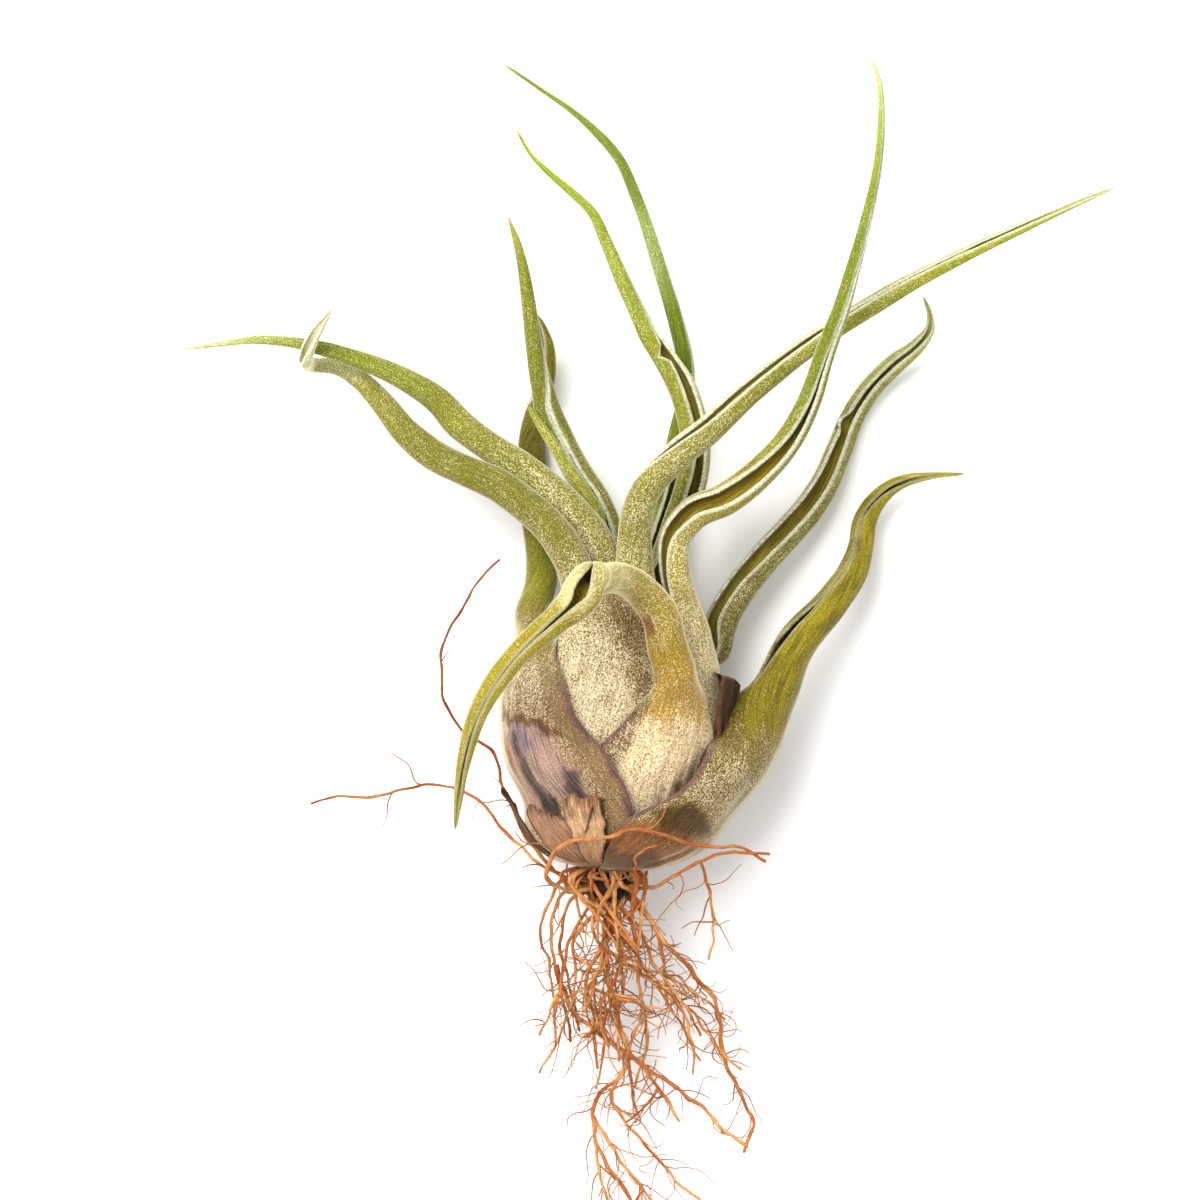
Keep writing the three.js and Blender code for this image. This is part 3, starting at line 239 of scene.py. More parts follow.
        (15.9, 59.5, 21.8, 6.3, -28, 150), (15.9, 64.9, 22, 6.2, -30, 149),
        (14.8, 69.9, 22.3, 6.1, -32, 148), (12.9, 75.1, 22.6, 5.9, -36, 148),
        (10, 80, 22.9, 5.2, -46, 152), (7, 84.4, 23.2, 4.5, -62, 156),
        (4.8, 88.8, 23.4, 4.2, -72, 158), (1.5, 95.7, 24, 3.8, -82, 158),
        (-1.9, 103.6, 24.8, 3.1, -90, 156), (-4.5, 109, 25.4, 2.5, -98, 150),
        (-8.6, 113, 26.2, 2, -104, 142), (-13, 116.7, 27.2, 1.5, -108, 134),
        (-16.7, 120.4, 28, 1, -110, 126), (-19.6, 125.3, 29, 0.7, -110, 120),
    ]},
    "leaf_left_sweeping": {"base": -13.4, "sheath": [
        (-9, 10.1, 0, -48, 58, 0), (0, 13.4, 0, -48, 54, 0), (12, 14.2, 0, -44, 46, 0),
        (22, 11.6, 0, -34, 36, 0),
    ], "blade": [
        (-3.6, 31, 26.2, 8.3, 212, 100), (-2.4, 38, 26.8, 7.5, 200, 138),
        (-4, 43.5, 27.2, 7.3, 192, 150), (-7.8, 48.5, 27.4, 7.3, 186, 156),
        (-12.5, 53.4, 27.4, 6.9, 180, 158), (-18.2, 58, 27.2, 6.4, 176, 158),
        (-25.2, 62.6, 26.8, 6, 172, 158), (-30.8, 66.8, 26.4, 6.1, 168, 158),
        (-35.4, 71.7, 26, 5.6, 165, 158), (-40.8, 75.3, 25.6, 4.9, 165, 157),
        (-46.6, 78.1, 25.2, 4.2, 166, 156), (-52.7, 80.3, 25, 3.5, 168, 152),
        (-58.7, 82.1, 25.2, 2.9, 170, 148), (-64.6, 83.3, 25.6, 2.3, 174, 142),
        (-70.9, 83.7, 26.2, 1.7, 178, 136), (-78.4, 82.8, 27.2, 1.1, 180, 128),
        (-85.7, 81.7, 28.2, 0.7, 180, 120),
    ]},
    "leaf_left_young": {"base": -11.9, "sheath": [
        (-7.5, 7.8, 0, -60, 50, 0), (0, 8.5, 0, -60, 46, 0), (12, 7.5, 0, -55, 36, 0),
        (22, 5, 0, -50, 34, 0),
    ], "blade": [
        (-2.6, 31, 22.7, 4, 200, 100), (-2.4, 38, 22, 3.4, 190, 130),
        (-2.8, 44, 22.1, 3.2, 184, 140), (-3.9, 49.5, 22, 3, 180, 142),
        (-6.2, 53.6, 21.9, 2.8, 180, 142), (-9.2, 58, 21.7, 2.6, 180, 142),
        (-12.1, 62.6, 21.3, 2.4, 180, 140), (-14.6, 66.4, 20.9, 1.9, 180, 136),
        (-16.2, 69, 20.5, 1.3, 180, 128), (-17.6, 71.4, 20.1, 0.7, 180, 120),
    ]},
    "leaf_withered": {"base": -20.9, "sheath": [
        (-9, 17.4, 0.8, 104, 26, 0), (0, 19.9, 2.6, 98, 23, 0), (8, 20.3, 3.5, 88, 26, 0),
        (14, 20.6, 4.9, 84, 28, 0), (18, 20.6, 5.6, 83, 25, 0),
    ], "blade": []},
}

ROOT_SEED = 20731  # as in the solids' source
ROOT_UNEVENNESS = 77
FILLER_ROOTS = 11
SIDE_ROOTS = 14
FIRST_TANGLE_ROUTE = 8  # routes from here on are in the tangle and bear most of the rootlets
FLOOR_CLEARANCE = 0.5
STRAND_STEP = 0.7  # spacing of the points along a main strand
ROOTLET_STEP = 0.8
ROOT_SPACE = ((-62, -96, 0.5), (33, 36, 46))  # box that rootlets stay in
# Pale, rust, dark and aged
ROOT_COLOURS = ((220, 158, 96), (174, 96, 44), (96, 46, 18), (122, 66, 40))
CROWN_PROFILE = ((-22.7, 3.6), (-24.0, 4.6), (-26.2, 4.14), (-27.4, 2.7), (-27.9, 0.5))
# Roots followed one by one: thickness from middle to skin, points from the crown outwards
ROOT_ROUTES = (
    # across the front
    (0.5, [
        (-3, -25.2, 24), (-9, -25.8, 26), (-12.7, -24, 30), (-13.2, -20.2, 34.5),
        (-11.8, -17, 38.2), (-7.9, -14.9, 41.8), (-3, -14.2, 44.2), (4.8, -13, 44.6),
        (9.2, -13.8, 43), (14.6, -16, 38.6), (19.6, -16.6, 35.5), (24.6, -16.9, 33.5),
        (29.6, -19.4, 31),
    ]),
    # second to the right
    (0.45, [
        (1, -25.4, 24), (6.9, -25.2, 26.5), (11.8, -22.3, 31), (16.7, -19.4, 33.5),
        (24.6, -17.9, 33.2), (30.6, -18.3, 32),
    ]),
    # short curl
    (0.4, [
        (2, -25.1, 25), (4.5, -24.5, 28), (3.9, -21.2, 34.5), (4.2, -18.5, 39.6),
        (5.8, -16.8, 42.2), (8.3, -16.2, 42.4),
    ]),
    # left strand, outer
    (0.4, [
        (-3, -24.8, 23), (-8, -23.7, 25), (-10.9, -24.2, 26), (-14, -30.8, 23), (-15, -35, 20),
        (-13.4, -39.8, 17), (-13.1, -44.5, 14), (-12.1, -49.7, 12),
    ]),
    # left strand, middle
    (0.45, [
        (-3, -25.9, 22), (-9, -25.2, 24), (-12.4, -30.3, 22), (-13, -36.1, 18.5),
        (-11.8, -41.4, 15.5), (-10.1, -50.7, 12), (-8.7, -56.9, 10),
    ]),
    # left strand, inner
    (0.4, [
        (-3, -25.9, 21), (-8, -26.9, 22), (-10.4, -33, 19.5), (-11, -38.2, 17.5), (-9, -45.5, 14),
        (-7, -54.9, 10.5),
    ]),
    # up the left side
    (0.4, [
        (-3, -25.6, 20), (-10, -23.5, 17.5), (-17.5, -16.3, 13.5), (-21.5, -8.3, 13),
        (-25.2, 1.8, 12.5), (-31.2, 6.2, 13.5), (-34.2, 10.9, 15), (-35.1, 15.9, 16),
        (-34.1, 24, 18), (-29, 33, 20), (-26, 37, 20.6), (-23, 40, 21),
    ]),
    # out to the left
    (0.4, [
        (-2, -25.4, 20.5), (-5, -25.5, 18), (-11, -23.3, 15.5), (-17.1, -19.8, 12),
        (-23.2, -13.5, 9), (-28.3, -8.5, 7.5), (-35.5, -5.6, 6), (-41.6, -6, 5), (-47.8, -7.7, 4),
        (-56, -8.1, 3), (-62.1, -9.4, 2),
    ]),
    # main strand
    (0.6, [
        (-1, -25.8, 23), (-2, -33, 20), (-1.6, -38.2, 18), (-2, -43.3, 16), (-0.6, -48.5, 14),
        (1.4, -54.7, 12), (2.5, -58.9, 11), (1, -64.1, 9), (-3, -68.3, 8), (-4.4, -72.4, 7),
        (-4, -77.6, 6), (-2, -81.8, 5), (3.1, -90.1, 4), (5.1, -93.2, 3.5),
    ]),
    # long right strand
    (0.55, [
        (1, -25.8, 23), (3.6, -27.4, 22.5), (6, -31, 20), (10.4, -36.8, 17.5), (15.1, -42.4, 15),
        (20.2, -48.7, 12), (21.7, -59.1, 9), (24.4, -66.4, 7), (27.9, -74.6, 6), (26.6, -79.7, 6),
    ]),
    # slanting strand
    (0.55, [
        (-11.8, -41.4, 15.5), (-10.7, -46.5, 13.6), (-7.4, -51.7, 12.4), (0, -57.8, 11.6),
        (10.2, -65.1, 9), (19.3, -72.4, 7.5), (26.4, -79.2, 6.4),
    ]),
    # right fan, first
    (0.35, [
        (-2, -33, 20), (3, -37.5, 18), (8.1, -45.4, 15), (15.2, -56.9, 11), (17.2, -61, 10),
    ]),
    # right fan, second
    (0.35, [
        (-1.6, -38.2, 18), (6, -43.9, 16), (13.1, -48.6, 13.5), (18.2, -54.8, 11),
        (22.3, -61, 9.5),
    ]),
    # right fan, third
    (0.35, [
        (-1.6, -38.2, 18), (5, -41.2, 17), (12.1, -44.4, 15), (17.2, -47.6, 13), (22.2, -52.8, 11),
    ]),
    # hanging from the second
    (0.35, [
        (16.7, -19.4, 33.5), (18.2, -23.4, 30), (19.3, -29.6, 26), (19.7, -34.8, 22.5),
        (19, -40, 20),
    ]),
    # orange side strand
    (0.45, [
        (2.5, -58.9, 11), (6.1, -63, 10), (9.8, -68.2, 8.4), (13.2, -73.9, 7),
    ]),
    # short side strand
    (0.35, [
        (2.5, -58.9, 11), (3.3, -65.1, 9.6), (4.3, -71.9, 8),
    ]),
    # lower fan, right
    (0.4, [
        (1, -64.1, 9), (-1, -68.2, 8.4), (2.1, -73.5, 7), (7.2, -79.7, 6), (12.2, -85.5, 5),
        (17.3, -90.1, 4),
    ]),
    # lower fan, middle
    (0.4, [
        (-4.4, -72.4, 7), (-1.6, -77.6, 6.4), (2.1, -82.8, 5.5), (9.2, -92.2, 3.5),
    ]),
    # lower fan, left
    (0.4, [
        (-4, -77.6, 6), (-3.4, -81.8, 5), (-3, -85.9, 4.5), (-0.6, -93.2, 3.5),
    ]),
)

# Colours along each leaf, as stops of place, tissue colour and cover of silver scales. Place 0 is
# the sheath's foot, 1 the neck and 2 the tip. "channel" is the colour inside the rolled blade, and
# "lining" its cover of scales where that isn't the usual one.
SHEATH_STOPS = [
    (0.0, (166, 124, 80), 0.56), (0.35, (156, 122, 70), 0.80), (0.75, (142, 114, 56), 0.84),
]
PALETTES = {
    "leaf_right_low": {
        "stops": [
            (0.0, (156, 102, 54), 0.40), (0.3, (128, 94, 44), 0.56), (0.7, (116, 94, 34), 0.58),
            (0.92, (116, 96, 16), 0.46), (1.0, (138, 122, 0), 0.24), (1.3, (150, 136, 0), 0.18),
            (1.7, (146, 134, 10), 0.22), (2.0, (186, 178, 50), 0.25),
        ],
        "channel": (112, 98, 16),
    },
    "leaf_left_outer": {
        "stops": [
            (0.0, (156, 108, 70), 0.48), (0.35, (146, 104, 60), 0.56), (0.75, (126, 90, 42), 0.54),
            (0.92, (116, 92, 32), 0.66), (1.0, (124, 102, 6), 0.42), (1.2, (132, 108, 0), 0.24),
            (1.5, (104, 94, 2), 0.24), (2.0, (150, 142, 26), 0.25),
        ],
        "channel": (120, 112, 8),
    },
    "leaf_front_bowed": {
        "stops": [
            (0.0, (190, 144, 98), 0.8), (0.5, (194, 148, 102), 0.86), (0.85, (190, 146, 86), 0.82),
            (0.98, (186, 142, 40), 0.54), (1.10, (166, 130, 8), 0.42), (1.22, (168, 144, 26), 0.52),
            (1.34, (170, 152, 36), 0.5), (1.48, (156, 140, 14), 0.36), (2.0, (176, 162, 26), 0.30),
        ],
        "channel": (178, 160, 24),
    },
    "leaf_right_tall": {
        "stops": SHEATH_STOPS + [
            (0.95, (150, 130, 72), 0.8), (1.12, (156, 142, 52), 0.62), (1.3, (146, 134, 16), 0.46),
            (1.5, (122, 130, 6), 0.36), (1.75, (124, 140, 14), 0.32), (1.9, (164, 176, 60), 0.34),
            (2.0, (216, 224, 130), 0.35),
        ],
        "channel": (182, 156, 30),
    },
    "leaf_front_kinked": {
        "stops": SHEATH_STOPS + [
            (0.98, (124, 108, 42), 0.66), (1.15, (118, 112, 8), 0.44), (1.5, (118, 116, 4), 0.36),
            (1.70, (138, 136, 30), 0.45), (1.80, (196, 198, 130), 0.55),
            (1.88, (226, 224, 170), 0.50), (2.0, (232, 230, 186), 0.50),
        ],
        "channel": (136, 128, 16),
    },
    "leaf_left_upright": {
        "stops": SHEATH_STOPS + [
            (1.0, (118, 102, 38), 0.64), (1.25, (118, 114, 8), 0.46), (1.6, (114, 116, 4), 0.36),
            (1.85, (132, 136, 14), 0.38), (2.0, (200, 200, 100), 0.30),
        ],
        "channel": (128, 118, 6),
    },
    "leaf_right_hooked": {
        "stops": SHEATH_STOPS + [
            (1.0, (94, 84, 34), 0.48), (1.3, (114, 106, 24), 0.44), (1.7, (132, 130, 36), 0.46),
            (2.0, (188, 196, 110), 0.4),
        ],
        "channel": (178, 160, 44),
    },
    "leaf_back_tall": {
        "stops": SHEATH_STOPS + [
            (1.0, (130, 118, 28), 0.50), (1.2, (120, 126, 4), 0.28), (1.53, (112, 132, 2), 0.22),
            (1.60, (150, 170, 84), 0.42), (1.66, (152, 172, 88), 0.42),
            (1.73, (124, 144, 40), 0.30), (2.0, (140, 164, 50), 0.28),
        ],
        "channel": (108, 120, 14),
    },
    "leaf_right_long": {
        "stops": SHEATH_STOPS + [
            (0.98, (148, 138, 68), 0.76), (1.10, (136, 130, 38), 0.58), (1.4, (132, 130, 12), 0.46),
            (1.75, (148, 152, 22), 0.38), (2.0, (178, 194, 66), 0.30),
        ],
        "channel": (202, 190, 66), "lining": 0.36,
    },
    "leaf_back_inner": {
        "stops": SHEATH_STOPS + [
            (1.0, (132, 120, 40), 0.64), (1.2, (138, 134, 16), 0.48), (1.55, (144, 148, 16), 0.40),
            (1.72, (154, 166, 46), 0.42), (2.0, (158, 184, 24), 0.26),
        ],
        "channel": (160, 142, 30),
    },
    "leaf_left_sweeping": {
        "stops": SHEATH_STOPS + [
            (0.98, (136, 120, 58), 0.74), (1.15, (130, 122, 36), 0.60), (1.5, (130, 130, 16), 0.44),
            (1.78, (126, 138, 18), 0.36), (1.88, (184, 192, 100), 0.5), (2.0, (226, 228, 178), 0.5),
        ],
        "channel": (116, 112, 14),
    },
    "leaf_left_young": {
        "stops": SHEATH_STOPS + [
            (1.0, (124, 114, 44), 0.6), (1.3, (132, 130, 14), 0.46), (2.0, (150, 154, 34), 0.4),
        ],
        "channel": (126, 120, 10),
    },
}
# Coloured strips along the margins: side, width, colour, strength, first and last place
MARGINS = {
    "leaf_front_bowed": [
        (-1, 1.2, (122, 62, 78), 0.95, 0.3, 0.99), (1, 1.6, (132, 96, 98), 0.7, 0.2, 0.8),
    ],
    "leaf_left_outer": [
        (1, 5.4, (142, 118, 78), 0.6, 0.1, 0.95), (1, 1.0, (126, 80, 86), 0.75, 0.1, 0.85),
    ],
    "leaf_right_low": [(-1, 1.3, (118, 84, 80), 0.8, 0.0, 0.98)],
    "leaf_right_tall": [(-1, 2.6, (138, 92, 96), 0.7, 0.1, 0.9)],
}
# Patches seen from above: outline, softness, raggedness, colour, strength, cover of scales there
PATCHES = {
    "leaf_left_outer": [
        ([(-22.4, 7.6), (-19, 7.2), (-14, 6.6), (-11.8, 3), (-9, -1), (-6.6, -4), (-5, -8),
          (-11, -8.4), (-14, -7.2), (-17, -4.2), (-20, 0), (-21.8, 4)],
         1.4, 0.7, (206, 168, 150), 0.88, 0.12),
        ([(-23.4, 5.6), (-21.2, 5.2), (-19.4, 0), (-17, -4.6), (-14.2, -8.4), (-12, -14),
          (-16, -14), (-21, -6)], 1.2, 0.4, (184, 138, 118), 0.85, 0.14),
        ([(-21.4, 6.6), (-19, 6.8), (-16.4, 6.2), (-16.8, 3), (-18.4, 1.6), (-20.4, 4)],
         1.6, 0.7, (140, 112, 140), 0.8, 0.16),
        ([(-20.9, 5.4), (-20.2, 5.6), (-18.7, 1.6), (-17.1, -1.6), (-15.4, -4.4), (-13.4, -6.4),
          (-11.2, -8.4), (-10.9, -11.6), (-13.6, -10.6), (-15.6, -7.4), (-17.4, -4.2),
          (-19.0, -0.8), (-20.3, 2.4)], 0.7, 0.3, (60, 36, 36), 0.9, 0.05),
        ([(-10.2, -1.2), (-7.6, -2.6), (-5.8, -7.4), (-7.4, -8), (-10, -6)],
         1.0, 0.5, (82, 52, 58), 0.85, 0.06),
        ([(-23.2, 10.4), (-21.4, 9.4), (-18.6, 8.2), (-15, 7.8), (-11.4, 5.4), (-13, 4.4),
          (-16, 6.4), (-19, 6.8), (-22.4, 7.2)], 0.7, 0.9, (116, 74, 28), 0.85, 0.1),
        # Dark line beside the pale bract's right edge: painted shadow in the slit there, with a
        # dark hairy edge
        ([(-3.6, -7.4), (-2.4, -7.6), (-1.2, -15), (-2.4, -15.4)],
         0.5, 0.3, (66, 40, 24), 0.85, 0.06),
        ([(-12, -14.6), (-0.5, -15), (-0.5, -23), (-10, -22)], 1.6, 0.7, (160, 98, 46), 0.85, 0.1),
        ([(-19, 46), (-11.8, 46), (-11, 32), (-19, 30)], 5, 1.0, (134, 142, 12), 0.6, 0.28),
    ],
    "leaf_front_bowed": [
        # Pale far lobe of the elbow: paler tissue with a painted highlight on it
        ([(-6.2, 39.8), (-9, 39.2), (-11, 35), (-11, 30.4), (-8, 30), (-6.6, 34)],
         1.4, 0.4, (226, 214, 140), 0.85, 0.4),
        ([(-3.4, 39.4), (2, 38.6), (4, 34.4), (0, 33.8), (-3, 34.2), (-4.6, 31), (-7, 28.4),
          (-7.4, 30), (-4.6, 34)], 1.2, 0.4, (216, 204, 140), 0.6, 0.5),
        ([(5, 28.4), (7, 28.8), (8, 26), (6.8, 24), (5.8, 26)], 0.9, 0.4, (140, 62, 34), 0.8, 0.3),
        ([(11.4, -5), (13, -4.4), (13.6, -7.4), (12.2, -8.2)], 0.9, 0.4, (112, 84, 40), 0.7, 0.3),
        # Brownish strip left of the bulging fold: the thin margin wing, darkened as painted shade
        # of its recess
        ([(-3.4, 1.2), (6.6, 14), (7.4, 12), (5, 7.6), (2.6, 2.4), (0.2, -3), (-1.8, -5.2),
          (-3, -2)], 1.2, 0.4, (104, 80, 48), 0.75, 0.5),
    ],
    "leaf_front_kinked": [
        # Browner right half of this sheath, darkened as painted shadow under the bowed leaf's arch
        ([(-3, 32.4), (0, 33.6), (5, 32.6), (7, 24), (7.6, 14), (5.4, 12), (2.4, 15.2),
          (2.8, 21), (-0.6, 27)], 3, 1.0, (110, 78, 14), 0.85, 0.44),
    ],
    "leaf_right_hooked": [
        ([(43.6, 68.8), (45.2, 69.2), (45.8, 66.8), (44, 66.2)], 0.6, 0.3, (92, 50, 28), 0.85, 0.1),
    ],
    "bract_pale": [
        ([(-4.7, -9.2), (-4.1, -9.4), (-4.9, -12.2), (-5.7, -14.8), (-6.2, -14.6), (-5.4, -12)],
         0.25, 0.15, (58, 34, 24), 0.9, 0),
    ],
    "leaf_right_low": [
        ([(8, -10.4), (13, -9), (15.8, -8.2), (18.2, -12), (19.8, -14.8), (15, -16),
          (10, -14.8)], 1.6, 0.9, (92, 62, 0), 0.92, 0.06),
        ([(-1.6, -11.8), (7, -12.6), (13, -15), (18, -17), (10, -22), (0, -24), (-3, -19)],
         2.4, 1.0, (158, 98, 50), 0.8, 0.16),
        ([(-4, -17.4), (0, -18.6), (5, -18.2), (9, -19.4), (10, -23), (-4, -23)],
         1.0, 1.2, (104, 62, 32), 0.8, 0.05),
        ([(21, 11), (26.4, 10.4), (26, 4), (22.4, 1.6), (19.4, 4.6)],
         1.6, 0.8, (106, 84, 14), 0.7, 0.34),
        ([(27, 5), (29.4, 4.6), (29.2, -2.6), (27, -4)], 1.2, 0.6, (118, 100, 12), 0.7, 0.32),
        ([(47.6, 44), (49.2, 44), (49.4, 41.8), (48, 41.6)], 0.6, 0.3, (120, 84, 50), 0.7, 0.2),
    ],
}
# Damage: side of the margin, place seen from above, half width and depth of a notch
NOTCHES = {
    "leaf_back_inner": [(1, (9.6, 81.6), 1.2, 2.4)],
    "leaf_right_hooked": [(1, (44.6, 67.6), 1.5, 2.6)],
}
# How white each rolled margin is, its scales and painted rim light together, where it differs from
# 1
RIMS = {"leaf_front_bowed": 0.35, "leaf_right_low": 0.3}
# Lengthwise creases of a sheath: spacing and height
RIDGES = {
    "leaf_front_bowed": (1.6, 0.3), "leaf_left_outer": (1.3, 0.36), "leaf_right_low": (2.2, 0.24),
    "leaf_front_kinked": (2.6, 0.2),
}

# Bracts: columns across, how far the upper edge curls, the torn edge's height at each column, rows
# of height y, radius, azimuth and half angle, and stops of place and colour from foot to edge
BRACTS = {
    "bract_brown": {
        "across": 6, "lip": 0.25, "torn": [0.6, 0.4, -0.3, -0.7, -1.2, -1.6, -1.9],
        "rows": [(-19.9, 11.2, -26, 19), (-18.4, 14.7, -28, 19), (-16, 17.6, -31, 18),
                 (-12.5, 19.6, -35, 17), (-9, 20.4, -40, 14)],
        "stops": [(0, (146, 96, 50)), (0.45, (178, 132, 98)), (1, (172, 128, 100))],
    },
    "bract_pale": {
        "across": 4, "lip": 0.9, "torn": [-0.6, 0.6, -0.2, 0.5, -0.5],
        "rows": [(-20.2, 12.0, -14, 7), (-18.4, 15.8, -13.5, 7), (-15.6, 19.0, -12.4, 8.5),
                 (-11.5, 21.0, -14, 10), (-6.4, 22.7, -14.6, 9)],
        "stops": [(0, (160, 108, 62)), (0.5, (198, 152, 110)), (0.85, (208, 166, 124)),
                  (1, (160, 110, 74))],
    },
    "bract_strip_long": {
        "across": 2, "lip": 0.0, "torn": [0, 1.6, 0.6],
        "rows": [(-18.8, 13.6, -60, 3), (-16, 17.1, -66, 2.8), (-12, 19.1, -70, 2.3),
                 (-9, 20.6, -72, 1.9), (-6.6, 22.8, -73, 1.5)],
        "stops": [(0, (86, 58, 36)), (0.6, (110, 76, 48)), (1, (76, 50, 32))],
    },
    "bract_strip_short": {
        "across": 2, "lip": 0.0, "torn": [0.6, 2.0, 0],
        "rows": [(-19.2, 12.7, -80, 5), (-16.6, 15.9, -84, 4.6), (-13.4, 18.2, -87, 3.6),
                 (-10.2, 19.4, -88, 2.4)],
        "stops": [(0, (96, 66, 40)), (1, (120, 84, 54))],
    },
}
BRACT_SEED = 51  # of the first bract; the next ones count up
BRACT_THICKNESS = 0.7
BRACT_EDGE = 0.28  # thickness at the torn edge
BRACT_ROWS = 44
BRACT_WORN = (80, 46, 26)  # colour of the worn edges

# Withered leaf: colours, partly painted shade, and how far its upper edge slants
WITHERED = "leaf_withered"
WITHERED_AND_SHADE_COLOURS = ((96, 62, 36), (60, 34, 16), (206, 156, 100))  # body, top, pale rim
WITHERED_SLANT = 2.6

STEM_SEED = 31
# Dark bark of the stem, which also stands for the shade in the hollow round its foot: partly
# painted shade
STEM_AND_HOLLOW_SHADE_COLOUR = (58, 34, 18)

# Silver scales in the finish, in grains: radius where there is no cover, what full cover adds to
# it, how far chance spreads it, and half the width of a scale's soft rim
SCALE_RADIUS = 0.03
SCALE_GROWTH = 0.70
SCALE_SPREAD = 0.24
SCALE_RIM = 0.11

# Stage, in metres and watts
FLOOR_HALF = 3.0
FLOOR_HEIGHT = -0.0003
AIM = (0, 0.02, 0.02)
ROOM_COLOUR = (1.0, 0.995, 0.985, 1)


def srgb(red, green, blue):
    """Linear colour from the 0 to 255 values of a painter's palette."""
    def linear(value):
        share = value / 255
        return share / 12.92 if share <= 0.04045 else ((share + 0.055) / 1.055) ** 2.4
    return (linear(red), linear(green), linear(blue))


def smooth(low, high, value):
    """0 below low, 1 above high, eased between."""
    share = np.clip((value - low) / (high - low), 0, 1)
    return share * share * (3 - 2 * share)


def unit(vectors):
    return vectors / np.maximum(np.linalg.norm(vectors, axis=-1, keepdims=True), 1e-9)


def blend(under, over, amount):
    """A colour over another, for one amount or for many."""
    return under + (over - under) * np.asarray(amount)[..., None]


def painted(under, colour, amount):
    """A palette colour over another colour."""
    return blend(under, np.array(srgb(*colour)), amount)


def colour_along(stops, place):
    """Colour at places, from stops of place and palette colour."""
    places = [stop[0] for stop in stops]
    colours = np.array([srgb(*stop[1]) for stop in stops])
    return np.stack([np.interp(place, places, colours[:, c]) for c in range(3)], axis=-1)


class Unevenness:
    """Smooth seeded value noise over two coordinates, from -1 to 1."""

    def __init__(self, seed):
        self.table = np.random.RandomState(seed).uniform(-1, 1, (64, 64))

    def __call__(self, x, y):
        x, y = np.asarray(x, float), np.asarray(y, float)
        ix, iy = np.floor(x).astype(int), np.floor(y).astype(int)
        fx, fy = x - ix, y - iy
        fx, fy = fx * fx * (3 - 2 * fx), fy * fy * (3 - 2 * fy)
        low = self.at(ix, iy) * (1 - fx) + self.at(ix + 1, iy) * fx
        high = self.at(ix, iy + 1) * (1 - fx) + self.at(ix + 1, iy + 1) * fx
        return low * (1 - fy) + high * fy

    def at(self, i, j):
        return self.table[i % 64, j % 64]

    def layers(self, across, along, seam, table):
        """Sum of layers of unevenness of one surface."""
        return sum(height * self(across / wide + seam, along / long)
                   for height, wide, long in table)


def through(knots, values, limited):
    """A curve through knots with slopes like its neighbours'; a limited one never overshoots."""
    values = np.asarray(values, float)
    h = np.diff(knots)
    d = np.diff(values) / h
    slopes = np.empty(len(values))
    slopes[0], slopes[-1] = d[0], d[-1]
    if limited:
        flat = d[:-1] * d[1:] <= 0
        d0, d1 = np.where(flat, 1, d[:-1]), np.where(flat, 1, d[1:])
        steep = 3 * (h[:-1] + h[1:]) / ((2 * h[1:] + h[:-1]) / d0 + (h[1:] + 2 * h[:-1]) / d1)
        slopes[1:-1] = np.where(flat, 0, steep)
    else:
        slopes[1:-1] = (d[:-1] * h[1:] + d[1:] * h[:-1]) / (h[:-1] + h[1:])

    def at(s):
        i = np.clip(np.searchsorted(knots, s, side="left") - 1, 0, len(h) - 1)
        t = (s - knots[i]) / h[i]
        eased = 3 * t ** 2 - 2 * t ** 3
        return (
            (1 - eased) * values[i] + (t ** 3 - 2 * t ** 2 + t) * h[i] * slopes[i]
            + eased * values[i + 1] + (t ** 3 - t ** 2) * h[i] * slopes[i + 1]
        )
    return at


def seen_from_above(points):
    """Where points appear from the camera's height, in millimetres at the middle height."""
    scale = (EYE_HEIGHT - MIDDLE_HEIGHT) / (EYE_HEIGHT - points[..., 2])
    x = EYE_OVER[0] + (points[..., 0] - EYE_OVER[0]) * scale
    y = EYE_OVER[1] + (points[..., 1] - EYE_OVER[1]) * scale
    return x, y


def inside(x, y, outline, soft):
    """How far inside an outline points lie: 0 outside, 1 more than soft inside."""
    corners = np.array(outline, float)
    nearest = np.full(x.shape, 1e9)
    within = np.zeros(x.shape, bool)
    for (x0, y0), (x1, y1) in zip(corners, np.roll(corners, -1, axis=0)):
        dx, dy = x1 - x0, y1 - y0
        t = np.clip(((x - x0) * dx + (y - y0) * dy) / (dx * dx + dy * dy), 0, 1)
        nearest = np.minimum(nearest, np.hypot(x - x0 - t * dx, y - y0 - t * dy))
        crosses = (y0 > y) != (y1 > y)
        safe = np.where(crosses, dy, 1)
        within ^= crosses & (x < x0 + dx * (y - y0) / safe)
    return smooth(-soft / 2, soft / 2, np.where(within, nearest, -nearest))


